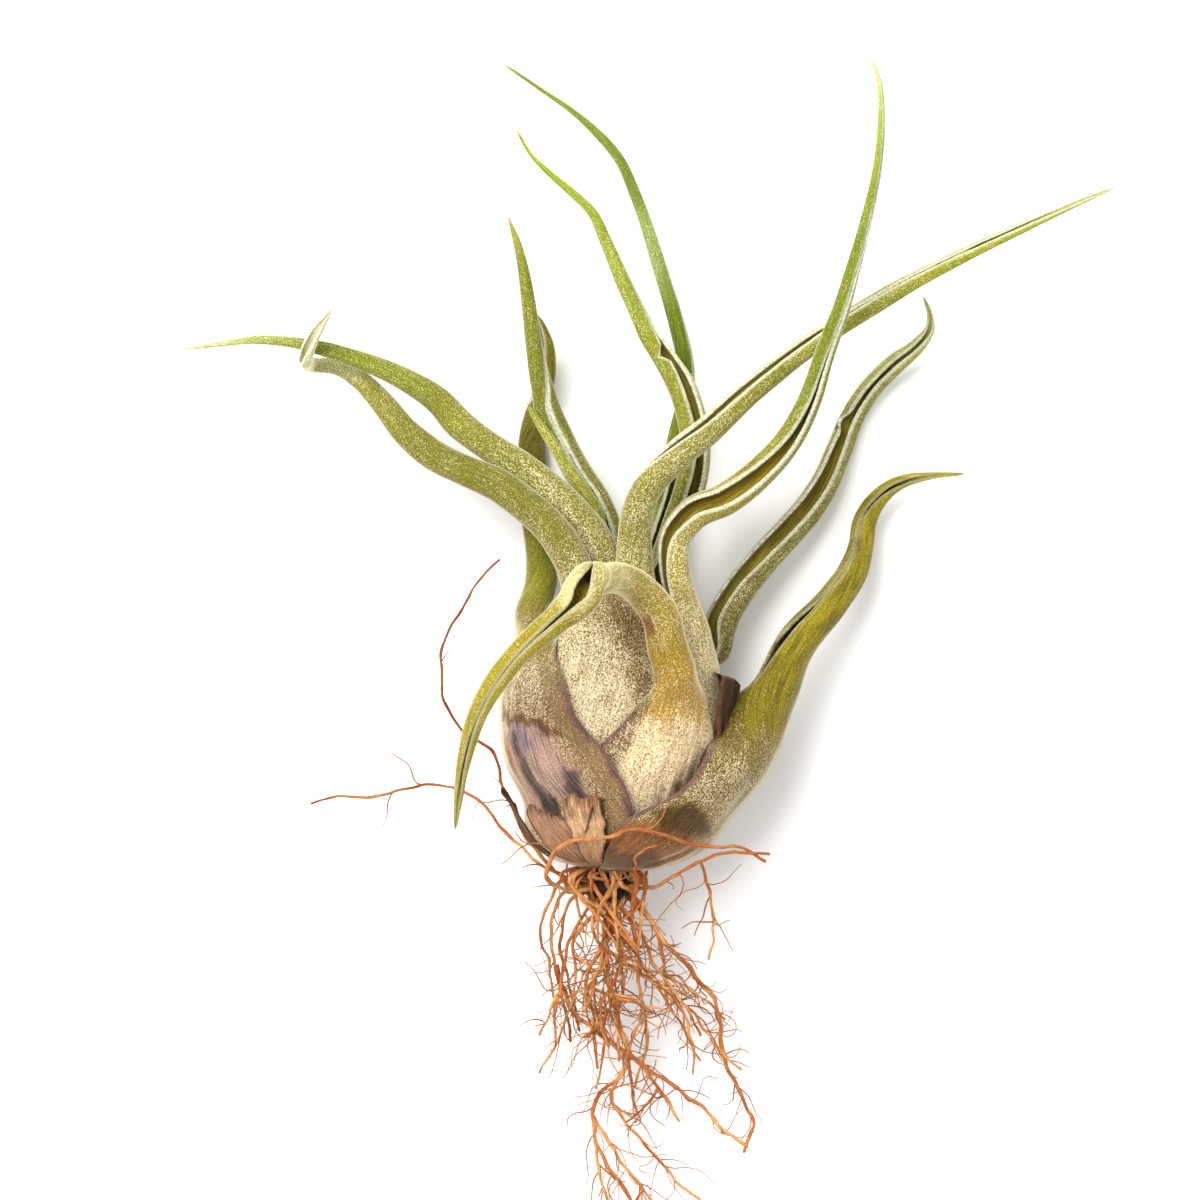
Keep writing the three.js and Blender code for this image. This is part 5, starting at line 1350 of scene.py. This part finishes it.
def add_main_strands(piece, thickness, rough):
    """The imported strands, followed closely and a little uneven. Returns their lines."""
    lines = []
    for n, (line, radius) in enumerate(root_lines()):
        line = evenly(line, STRAND_STEP)
        t = np.linspace(0, 1, len(line))
        sway = min(0.5, radius) * 0.9 * smooth(0, 0.08, t)
        step = np.arange(len(line)) * STRAND_STEP
        swayed = [sway * rough(step / 3.1 + n * 5.3, k * 7.7) for k in range(3)]
        line = line + np.stack(swayed, axis=1)
        line[:, 2] = np.maximum(line[:, 2], FLOOR_CLEARANCE)
        radii = np.maximum(0.26, radius * (1 - 0.35 * t)) * (1 + 0.18 * rough(step / 1.9, n))
        colour = blend(RUST, PALE, smooth(-0.5, 0.6, rough(step / 7 + n * 3.3, 1.5)))
        colour = blend(colour, DARK, 0.45 * (1 - smooth(0, 0.16, t)))
        colour = blend(colour, AGED, 0.8 * smooth(-18, -2, line[:, 1]))
        add_tube(piece, line, radii * thickness, 7, colour, n, rough)
        lines.append(line)
    return lines


def add_root_starts(piece, count, thickness, chance, rough):
    """Short thick roots that loop out round the stem's foot."""
    for n in range(count):
        angle = chance.normal(0, 1.2)
        foot = np.array((BULB_AXIS[0] + 4.6 * math.sin(angle), chance.uniform(-22, -20),
                         BULB_AXIS[1] + 5.2 * math.cos(angle)))
        reach = chance.uniform(0.6, 4.4)
        knee = foot + np.array((math.sin(angle) * reach + chance.normal(0, 1.2),
                                chance.uniform(-4.5, -0.6), math.cos(angle) * reach))
        toe = np.array((BULB_AXIS[0] + chance.uniform(-5.5, 5.5), chance.uniform(-38, -25),
                        BULB_AXIS[1] + chance.uniform(-4, 4.5)))
        middle = (knee + toe) / 2 + chance.normal(0, 0.9, 3)
        line = evenly(curve_through([foot, knee, middle, toe]), 0.6)
        t = np.linspace(0, 1, len(line))
        colour = blend(RUST, PALE, chance.uniform(0, 1))
        colour = blend(colour, DARK, 0.7 * (1 - smooth(0, 0.2, t)))
        radii = chance.uniform(0.3, 0.55) * (1 - 0.35 * t) * thickness
        add_tube(piece, line, radii, 6, colour, 300 + n, rough)


def add_rootlets(piece, count, thickness, chance, rough, parents):
    """Fine rootlets that wander off from the main strands."""
    weights = np.array([len(line) * (2.2 if n >= FIRST_TANGLE_ROUTE else 0.35)
                        for n, line in enumerate(parents)])
    weights /= weights.sum()
    for n in range(count):
        line = parents[chance.choice(len(parents), p=weights)]
        i = int(chance.uniform(0.04, 0.9) * (len(line) - 2))
        stray = chance.normal(0, 0.8, 3) * np.array((0.6, 0.4, 0.4))
        heading = unit(line[i + 1] - line[i] + stray)
        length = chance.uniform(3, 15)
        walk = [line[i]]
        turning = chance.normal(0, 0.16, 3)
        for _ in range(int(length / ROOTLET_STEP)):
            sink = -0.01 if walk[-1][2] > 3 else 0.05
            turning = turning * 0.8 + chance.normal(0, 0.13, 3)
            heading = unit(heading + turning + np.array((0, -0.05, sink)))
            walk.append(np.clip(walk[-1] + heading * ROOTLET_STEP, *ROOT_SPACE))
        walk = np.array(walk)
        t = np.linspace(0, 1, len(walk))
        radii = chance.uniform(0.11, 0.21) * (1 - 0.5 * t) * thickness
        colour = blend(RUST, PALE, chance.uniform(0, 1))
        colour = blend(colour, DARK, chance.uniform(0, 0.5))
        add_tube(piece, walk, radii, 5, np.tile(colour, (len(walk), 1)), 100 + n, rough)


def build_roots(material, settings):
    """Wiry roots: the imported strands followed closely, with finer rootlets that branch off."""
    piece = PieceMesh()
    rough = Unevenness(ROOT_UNEVENNESS)
    chance = np.random.RandomState(ROOT_SEED)
    parents = add_main_strands(piece, settings.thickness, rough)
    add_root_starts(piece, settings.root_starts, settings.thickness, chance, rough)
    add_rootlets(piece, settings.rootlets, settings.thickness, chance, rough, parents)
    # The crown under the stem's foot is near black: painted shade of the hollow under the bulb
    crown = turned_rows(finer_rows(CROWN_PROFILE, 22), 30, 0.07, rough)
    add_turned(piece, crown, DARK * 0.3, rough(crown[..., 0], crown[..., 2]))
    made = piece.make("roots_fine", material)
    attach(made, "root")
    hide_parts("roots")
    return made


def turned_rows(profile, sides, lump, rough):
    """Rows of points round the stem's line from a profile of heights and radii."""
    y = profile[:, 0][:, None]
    turn = np.linspace(0, 2 * math.pi, sides, endpoint=False)[None, :]
    swell = 1 + lump * (rough(turn * 3.2, y / 1.6) + 0.6 * rough(turn * 8, y / 0.9))
    r = profile[:, 1][:, None] * swell
    return np.stack(
        (BULB_AXIS[0] - np.sin(turn) * r, y + 0 * turn, BULB_AXIS[1] + np.cos(turn) * r), axis=-1)


def add_turned(piece, rows, colour, uneven):
    """A closed body from rows of points that run down round the stem's line."""
    around = rows.shape[1]
    faces = ring_faces(0, len(rows), around)
    faces.append(list(range(around))[::-1])
    faces.append([(len(rows) - 1) * around + j for j in range(around)])
    tint = colour * (0.8 + 0.5 * uneven)[..., None]
    piece.add(rows, faces, tissue=tint.reshape(-1, 3), surface=rows.reshape(-1, 3))


def build_stem(material):
    """The short stem, whose worn foot shows in the hollow among the roots, dark partly as painted
    shade of that hollow.
    """
    rough = Unevenness(STEM_SEED)
    rows = turned_rows(finer_rows(STEM_PROFILE, 60), 40, 0.05, rough)[::-1]
    piece = PieceMesh()
    add_turned(piece, rows, np.array(srgb(*STEM_AND_HOLLOW_SHADE_COLOUR)),
               rough(rows[..., 0] * 1.3, rows[..., 1] / 3))
    made = piece.make("stem_fine", material)
    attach(made, "root")
    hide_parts("stem")
    return made


class Bench:
    """Places and joins the nodes of one tree."""

    def __init__(self, tree):
        self.tree = tree

    def node(self, kind, inputs=None, **settings):
        made = self.tree.nodes.new(kind)
        for key, value in settings.items():
            setattr(made, key, value)
        return self.fill(made, inputs or {})

    def fill(self, node, inputs):
        """Links or sets a node's inputs."""
        for key, value in inputs.items():
            self.put(node.inputs[key], value)
        return node

    def put(self, socket, value):
        if isinstance(value, bpy.types.NodeSocket):
            self.tree.links.new(value, socket)
        else:
            socket.default_value = value

    def math(self, operation, *values):
        return self.node(
            "ShaderNodeMath", dict(enumerate(values)), operation=operation).outputs[0]

    def vector(self, operation, *values):
        return self.node(
            "ShaderNodeVectorMath", dict(enumerate(values)), operation=operation).outputs[0]

    def scale(self, vector, factor):
        return self.node("ShaderNodeVectorMath", {0: vector, "Scale": factor},
                         operation="SCALE").outputs[0]

    def mix(self, share, under, over, blend_type="MIX"):
        return self.node("ShaderNodeMix", {0: share, 6: under, 7: over},
                         data_type="RGBA", blend_type=blend_type).outputs[2]

    def shaded(self, colour, light):
        """A colour made lighter or darker by a value."""
        grey = self.node("ShaderNodeCombineColor", {0: light, 1: light, 2: light}).outputs[0]
        return self.mix(1.0, colour, grey, "MULTIPLY")

    def spread(self, value, low, high, to_low=0.0, to_high=1.0, kind="SMOOTHSTEP"):
        return self.node("ShaderNodeMapRange", {
            "Value": value, "From Min": low, "From Max": high, "To Min": to_low, "To Max": to_high,
        }, interpolation_type=kind).outputs[0]

    def noise(self, vector, scale, detail=2.0, roughness=0.5):
        return self.node("ShaderNodeTexNoise", {
            "Vector": vector, "Scale": scale, "Detail": detail, "Roughness": roughness,
        }).outputs

    def attribute(self, name, output):
        return self.node("ShaderNodeAttribute", attribute_name=name).outputs[output]

    def bump(self, height, distance, strength):
        return self.node("ShaderNodeBump", {
            "Height": height, "Distance": distance, "Strength": strength}).outputs[0]


def shader_group(name, inputs, outputs):
    """An empty shader node group with named sockets, its bench, its input and its output node."""
    tree = bpy.data.node_groups.new(name, "ShaderNodeTree")
    for label, kind, default in inputs:
        socket = tree.interface.new_socket(name=label, in_out="INPUT", socket_type=kind)
        if default is not None:
            socket.default_value = default
    for label, kind in outputs:
        tree.interface.new_socket(name=label, in_out="OUTPUT", socket_type=kind)
    bench = Bench(tree)
    return tree, bench, bench.node("NodeGroupInput").outputs, bench.node("NodeGroupOutput")


def silver_scales_group(name):
    """Fine silver scales over tissue: round specks, each different, with tissue between."""
    tree, bench, given, result = shader_group(name, [
        ("Surface", "NodeSocketVector", None),
        ("Cover", "NodeSocketFloat", 0.5),
        ("Grain", "NodeSocketFloat", 0.4),
        ("Tissue", "NodeSocketColor", (0.2, 0.25, 0.05, 1)),
        ("Scale", "NodeSocketColor", (0.8, 0.8, 0.7, 1)),
    ], [("Color", "NodeSocketColor"), ("Mask", "NodeSocketFloat"), ("Height", "NodeSocketFloat")])
    size = bench.math("DIVIDE", 1.0, given["Grain"])
    spot = bench.vector("MULTIPLY", bench.scale(given["Surface"], size), (1.0, 0.8, 1.0))
    drift = bench.noise(spot, 0.55, 1.0)["Color"]
    drift = bench.scale(bench.vector("SUBTRACT", drift, (0.5, 0.5, 0.5)), 0.5)
    cells = bench.node("ShaderNodeTexVoronoi", {
        "Vector": bench.vector("ADD", spot, drift), "Scale": 1.0}).outputs
    chance = bench.node("ShaderNodeSeparateColor", {"Color": cells["Color"]}).outputs
    radius = bench.math("MULTIPLY_ADD", given["Cover"], SCALE_GROWTH, SCALE_RADIUS)
    radius = bench.math("ADD", radius, bench.math(
        "MULTIPLY_ADD", chance[0], SCALE_SPREAD, -SCALE_SPREAD / 2))
    mask = bench.spread(cells["Distance"], bench.math("SUBTRACT", radius, SCALE_RIM),
                        bench.math("ADD", radius, SCALE_RIM), 1.0, 0.0)
    dust = bench.noise(spot, 1.9, 1.0)[0]
    mask = bench.math("MULTIPLY", mask, bench.spread(dust, 0.25, 0.6, 0.6, 1.0))
    bright = bench.spread(chance[1], 0.0, 1.0, 0.72, 1.22, "LINEAR")
    scale = bench.shaded(given["Scale"], bright)
    tissue = bench.shaded(given["Tissue"], bench.spread(dust, 0.3, 0.7, 0.26, 1.05))
    bench.fill(result, {
        "Color": bench.mix(bench.math("MULTIPLY", mask, 0.92), tissue, scale),
        "Mask": mask,
        "Height": bench.math("MULTIPLY", mask, bench.math("MULTIPLY_ADD", bright, 0.8, 0.1)),
    })
    return tree


def fibres_group(name):
    """Lines that run lengthwise over a surface, as in dry sheaths and bark."""
    tree, bench, given, result = shader_group(name, [
        ("Surface", "NodeSocketVector", None),
        ("Spacing", "NodeSocketFloat", 0.5),
        ("Stretch", "NodeSocketFloat", 12.0),
    ], [("Lines", "NodeSocketFloat")])
    fine = bench.math("DIVIDE", 1.0, given["Spacing"])
    flat = bench.math("DIVIDE", fine, given["Stretch"])
    sizes = bench.node("ShaderNodeCombineXYZ", {0: fine, 1: flat, 2: 1.0}).outputs[0]
    lines = bench.noise(bench.vector("MULTIPLY", given["Surface"], sizes), 1.0, 3.0, 0.6)[0]
    bench.fill(result, {"Lines": bench.spread(lines, 0.32, 0.68)})
    return tree


def named(collection, name, maker, *details):
    """The material or node group of that name, made once."""
    return collection.get(name) or maker(name, *details)


def add_fibres(bench, surface, spacing, stretch):
    """The fibres group's lines over a surface."""
    group = named(bpy.data.node_groups, "Lengthwise fibres", fibres_group)
    return bench.node("ShaderNodeGroup", {
        "Surface": surface, "Spacing": spacing, "Stretch": stretch}, node_tree=group).outputs[0]


def fresh_material(name):
    """A new node material, its bench and its Principled shader."""
    material = bpy.data.materials.new(name)
    material.use_nodes = True
    bench = Bench(material.node_tree)
    shader = next(n for n in material.node_tree.nodes if n.type == "BSDF_PRINCIPLED")
    return material, bench, shader


def leaf_material(name, settings):
    """Living leaf: green tissue under silver scales, a white fringe of scales and painted rim light
    along the margins, and painted sheen at grazing angles.
    """
    material, bench, shader = fresh_material(name)
    surface = bench.attribute("surface", "Vector")
    tissue = bench.attribute("tissue", "Color")
    fringe = bench.attribute("fringe", "Fac")
    fringe_colour = (*settings.fringe_colour, 1)
    scale_colour = (*settings.scale_colour, 1)
    fibres = add_fibres(bench, surface, 0.55, 14)
    cloud = bench.spread(bench.noise(surface, 0.32, 3.0, 0.6)[0], 0.3, 0.7, 0.92, 1.08)
    cover = bench.math("MULTIPLY", bench.attribute("cover", "Fac"), cloud)
    cover = bench.math("ADD", cover, bench.spread(fibres, 0, 1, -0.05, 0.05, "LINEAR"))
    pale = bench.scale(tissue, 1.9)
    silver = bench.mix(bench.spread(cover, 0.12, 0.7, 0.1, 0.92), pale, scale_colour)
    scales = bench.node("ShaderNodeGroup", {
        "Surface": surface, "Cover": cover, "Grain": settings.grain / MM,
        "Tissue": tissue, "Scale": silver,
    }, node_tree=named(bpy.data.node_groups, "Silver scales", silver_scales_group)).outputs
    # Whiter along the margins: the fringe of scales and painted rim light, patchy where scales are
    # worn
    worn = bench.spread(bench.noise(surface, 2.2, 2.0)[0], 0.35, 0.6, 0.35, 0.95)
    colour = bench.mix(bench.math("MULTIPLY", fringe, worn), scales["Color"], fringe_colour)
    darkest = bench.spread(cover, 0.08, 0.3, 0.36, 0.86)
    colour = bench.shaded(colour, bench.spread(fibres, 0, 1, darkest, 1.08, "LINEAR"))
    # Paler towards grazing angles where scales cover the leaf: painted sheen of their fuzz
    slope = bench.node("ShaderNodeLayerWeight", {"Blend": 0.5}).outputs["Facing"]
    painted_edge_sheen = bench.math("MULTIPLY", bench.spread(slope, 0.52, 0.92, 0.0, 0.85),
                      bench.spread(cover, 0.12, 0.4, 0.0, 1.0))
    colour = bench.mix(painted_edge_sheen, colour, bench.mix(0.6, pale, fringe_colour))
    height = bench.math("MULTIPLY_ADD", fibres, 0.7, scales["Height"])
    bench.fill(shader, {
        "Base Color": colour, "Normal": bench.bump(height, 0.00012, 0.7), "Roughness": 0.72,
        "Specular IOR Level": 0.2, "Sheen Weight": 0.3, "Sheen Tint": scale_colour,
        "Sheen Roughness": 0.45,
    })
    return material


def hair_material(name, settings):
    """Scale hairs: silver, with a little of the tissue's colour below them."""
    material, bench, shader = fresh_material(name)
    place = bench.node("ShaderNodeTexCoord").outputs["Object"]
    share = bench.spread(bench.noise(place, 900.0, 1.0)[0], 0.3, 0.7, 0.45, 0.8)
    colour = bench.mix(share, bench.attribute("tissue", "Color"), (*settings.scale_colour, 1))
    bench.fill(shader, {"Base Color": colour, "Roughness": 0.55, "Specular IOR Level": 0.3})
    return material


def dry_material(name, spacing, stretch, depth):
    """Dry plant matter: papery bracts, bark or roots, with fibres and flecks."""
    material, bench, shader = fresh_material(name)
    surface = bench.attribute("surface", "Vector")
    fibres = add_fibres(bench, surface, spacing, stretch)
    flecks = bench.noise(surface, 3.2, 2.0, 0.6)[0]
    light = bench.math("MULTIPLY", bench.spread(fibres, 0, 1, 0.62, 1.22, "LINEAR"),
                       bench.spread(flecks, 0.3, 0.7, 0.78, 1.16))
    height = bench.math("MULTIPLY_ADD", flecks, 0.5, fibres)
    bench.fill(shader, {
        "Base Color": bench.shaded(bench.attribute("tissue", "Color"), light),
        "Normal": bench.bump(height, depth, 0.8), "Roughness": 0.82, "Specular IOR Level": 0.25,
    })
    return material


class AirPlantLeafSettings(bpy.types.PropertyGroup):
    """Sizes and colours of the leaves and their silver scales."""

    row_spacing: bpy.props.FloatProperty(
        name="Row spacing", description="Distance between the rows of points along a blade",
        default=0.00095, min=0.0004, max=0.004, unit="LENGTH", precision=5)
    grain: bpy.props.FloatProperty(
        name="Scale grain", description="Spacing of the silver scales in the finish",
        default=0.00023, min=0.0001, max=0.002, unit="LENGTH", precision=5)
    scale_colour: bpy.props.FloatVectorProperty(
        name="Scale colour", description="Colour of the silver scales", subtype="COLOR",
        default=srgb(246, 228, 188), min=0, max=1)
    fringe_colour: bpy.props.FloatVectorProperty(
        name="Fringe colour", description="Colour of the white fringe along the margins",
        subtype="COLOR", default=srgb(240, 240, 222), min=0, max=1)
    hairs_per_mm2: bpy.props.FloatProperty(
        name="Hair density", description="Raised scale hairs on each square millimetre",
        default=2.4, min=0, max=6)
    most_hairs: bpy.props.IntProperty(
        name="Most hairs", description="Most raised scale hairs on one leaf",
        default=11000, min=0, max=40000)
    rim_share: bpy.props.FloatProperty(
        name="Margin hairs", description="How much denser the hairs are along the margins",
        default=0.8, min=0, max=12)
    hair_length: bpy.props.FloatProperty(
        name="Hair length", description="Usual length of a scale hair",
        default=0.00024, min=0.0001, max=0.002, unit="LENGTH", precision=5)
    hair_width: bpy.props.FloatProperty(
        name="Hair width", description="Usual width of a scale hair at its foot",
        default=0.00009, min=0.00002, max=0.001, unit="LENGTH", precision=5)


class AirPlantRootSettings(bpy.types.PropertyGroup):
    """Numbers and thickness of the roots."""

    rootlets: bpy.props.IntProperty(
        name="Rootlets", description="Fine rootlets that branch from the main strands",
        default=420, min=0, max=900)
    root_starts: bpy.props.IntProperty(
        name="Root starts", description="Short thick roots that loop out round the stem's foot",
        default=34, min=0, max=200)
    thickness: bpy.props.FloatProperty(
        name="Thickness", description="Thickness of all roots against the usual one",
        default=1.0, min=0.5, max=2.0)


class AirPlantStageSettings(bpy.types.PropertyGroup):
    """Floor and light of the stage."""

    floor_colour: bpy.props.FloatVectorProperty(
        name="Floor colour", description="Colour of the pale floor", subtype="COLOR",
        default=(0.92, 0.92, 0.915), min=0, max=1)
    key_power: bpy.props.FloatProperty(
        name="Key light", description="Power of the large light at the upper left",
        default=27.0, min=0, max=500, unit="POWER")
    fill_power: bpy.props.FloatProperty(
        name="Fill light", description="Power of the soft light overhead and at the right",
        default=5.0, min=0, max=500, unit="POWER")
    sky: bpy.props.FloatProperty(
        name="Room light", description="Strength of the even light of the room",
        default=0.58, min=0, max=10)


class AIRPLANT_OT_leaves(bpy.types.Operator):
    """Make every living leaf: sheath, rolled blade, colours and margins"""
    bl_idname = "air_plant.leaves"
    bl_label = "Leaves"

    def execute(self, context):
        settings = context.scene.air_plant_leaves
        material = named(bpy.data.materials, "Scaly leaf", leaf_material, settings)
        for name in PALETTES:
            build_leaf(name, material, settings)
        return {"FINISHED"}


class AIRPLANT_OT_scales(bpy.types.Operator):
    """Cover every living leaf with raised silver scale hairs"""
    bl_idname = "air_plant.scales"
    bl_label = "Silver scale hairs"

    def execute(self, context):
        settings = context.scene.air_plant_leaves
        material = named(bpy.data.materials, "Scale hairs", hair_material, settings)
        for name in PALETTES:
            build_scales(bpy.data.objects[name + "_fine"], name, material, settings)
        return {"FINISHED"}


class AIRPLANT_OT_dry_leaves(bpy.types.Operator):
    """Make the withered leaf and the torn dry bracts round the base"""
    bl_idname = "air_plant.dry_leaves"
    bl_label = "Withered leaf and bracts"

    def execute(self, context):
        material = named(bpy.data.materials, "Papery bract", dry_material, 0.4, 10, 0.0002)
        build_withered(material)
        for n, name in enumerate(BRACTS):
            build_bract(name, material, BRACT_SEED + n)
        return {"FINISHED"}


class AIRPLANT_OT_stem(bpy.types.Operator):
    """Make the short stem whose worn foot shows among the roots"""
    bl_idname = "air_plant.stem"
    bl_label = "Stem"

    def execute(self, context):
        build_stem(named(bpy.data.materials, "Stem bark", dry_material, 0.5, 6, 0.0003))
        return {"FINISHED"}


class AIRPLANT_OT_roots(bpy.types.Operator):
    """Make the tangle of wiry roots and rootlets"""
    bl_idname = "air_plant.roots"
    bl_label = "Roots"

    def execute(self, context):
        material = named(bpy.data.materials, "Root bark", dry_material, 0.35, 5, 0.00012)
        build_roots(material, context.scene.air_plant_roots)
        return {"FINISHED"}


class AIRPLANT_OT_stage(bpy.types.Operator):
    """Make the pale floor, the soft lights and the camera that looks straight down"""
    bl_idname = "air_plant.stage"
    bl_label = "Stage"

    def execute(self, context):
        settings = context.scene.air_plant_stage
        build_floor(settings)
        build_lights(context.scene, settings)
        build_camera(context.scene)
        return {"FINISHED"}


def build_floor(settings):
    """A wide pale floor just under the plant."""
    half, z = FLOOR_HALF, FLOOR_HEIGHT
    mesh = bpy.data.meshes.new("floor")
    mesh.from_pydata([(-half, -half, z), (half, -half, z), (half, half, z), (-half, half, z)],
                     [], [(0, 1, 2, 3)])
    material, bench, shader = fresh_material("Pale floor")
    place = bench.node("ShaderNodeTexCoord").outputs["Object"]
    faint = bench.spread(bench.noise(place, 3.0, 2.0)[0], 0.3, 0.7, 0.0, 0.02)
    bench.fill(shader, {
        "Base Color": bench.mix(faint, (*settings.floor_colour, 1), (0.85, 0.85, 0.85, 1)),
        "Roughness": 0.9, "Specular IOR Level": 0.1,
    })
    mesh.materials.append(material)
    floor = bpy.data.objects.new("floor", mesh)
    bpy.context.scene.collection.objects.link(floor)


def build_lights(scene, settings):
    """Large soft lights and an even room."""
    for name, place, size, power in (
        ("key light", (-0.45, 0.5, 1.15), 0.8, settings.key_power),
        ("overhead light", (0.15, 0.1, 1.6), 1.2, settings.fill_power),
        ("right light", (0.9, -0.3, 0.7), 0.9, settings.fill_power * 0.5),
    ):
        light = bpy.data.lights.new(name, "AREA")
        light.shape = "SQUARE"
        light.size = size
        light.energy = power
        lamp = bpy.data.objects.new(name, light)
        lamp.location = place
        aim = Vector(AIM) - Vector(place)
        lamp.rotation_euler = aim.to_track_quat("-Z", "Y").to_euler()
        scene.collection.objects.link(lamp)
    world = bpy.data.worlds.new("Even room")
    world.use_nodes = True
    back = world.node_tree.nodes["Background"]
    back.inputs["Color"].default_value = ROOM_COLOUR
    back.inputs["Strength"].default_value = settings.sky
    scene.world = world
    scene.view_settings.view_transform = "Standard"
    scene.view_settings.look = "None"


def build_camera(scene):
    """The camera looks straight down, with the photograph's framing."""
    data = bpy.data.cameras.new("camera")
    data.sensor_width = SENSOR_WIDTH
    data.lens = SENSOR_WIDTH * (EYE_HEIGHT - MIDDLE_HEIGHT) / PICTURE_WIDTH
    data.clip_start, data.clip_end = 0.05, 20
    camera = bpy.data.objects.new("camera", data)
    camera.location = (
        (EYE_OVER[0] + SEAT[0]) * MM, (EYE_OVER[1] + SEAT[1]) * MM, EYE_HEIGHT * MM)
    scene.collection.objects.link(camera)
    scene.camera = camera


class AIRPLANT_PT_panel(bpy.types.Panel):
    """Lists the steps that dress the plant"""
    bl_idname = "AIRPLANT_PT_panel"
    bl_label = "Air plant"
    bl_space_type = "VIEW_3D"
    bl_region_type = "UI"
    bl_category = "Air plant"

    def draw(self, context):
        for step in STEPS:
            self.layout.operator(step.bl_idname)
        for group in SETTINGS:
            box = self.layout.box()
            settings = getattr(context.scene, group)
            for key in settings.bl_rna.properties.keys():
                if key not in ("rna_type", "name"):
                    box.prop(settings, key)


SETTINGS = {
    "air_plant_leaves": AirPlantLeafSettings,
    "air_plant_roots": AirPlantRootSettings,
    "air_plant_stage": AirPlantStageSettings,
}
STEPS = (
    AIRPLANT_OT_stage, AIRPLANT_OT_leaves, AIRPLANT_OT_scales, AIRPLANT_OT_dry_leaves,
    AIRPLANT_OT_stem, AIRPLANT_OT_roots,
)


def register():
    for made in (*SETTINGS.values(), *STEPS, AIRPLANT_PT_panel):
        bpy.utils.register_class(made)
    for name, group in SETTINGS.items():
        setattr(bpy.types.Scene, name, bpy.props.PointerProperty(type=group))


def unregister():
    for name in SETTINGS:
        delattr(bpy.types.Scene, name)
    for made in (AIRPLANT_PT_panel, *reversed(STEPS), *SETTINGS.values()):
        bpy.utils.unregister_class(made)


def main():
    register()
    bpy.ops.air_plant.stage()
    bpy.ops.air_plant.leaves()
    bpy.ops.air_plant.scales()
    bpy.ops.air_plant.dry_leaves()
    bpy.ops.air_plant.stem()
    bpy.ops.air_plant.roots()


if __name__ == "__main__":
    main()
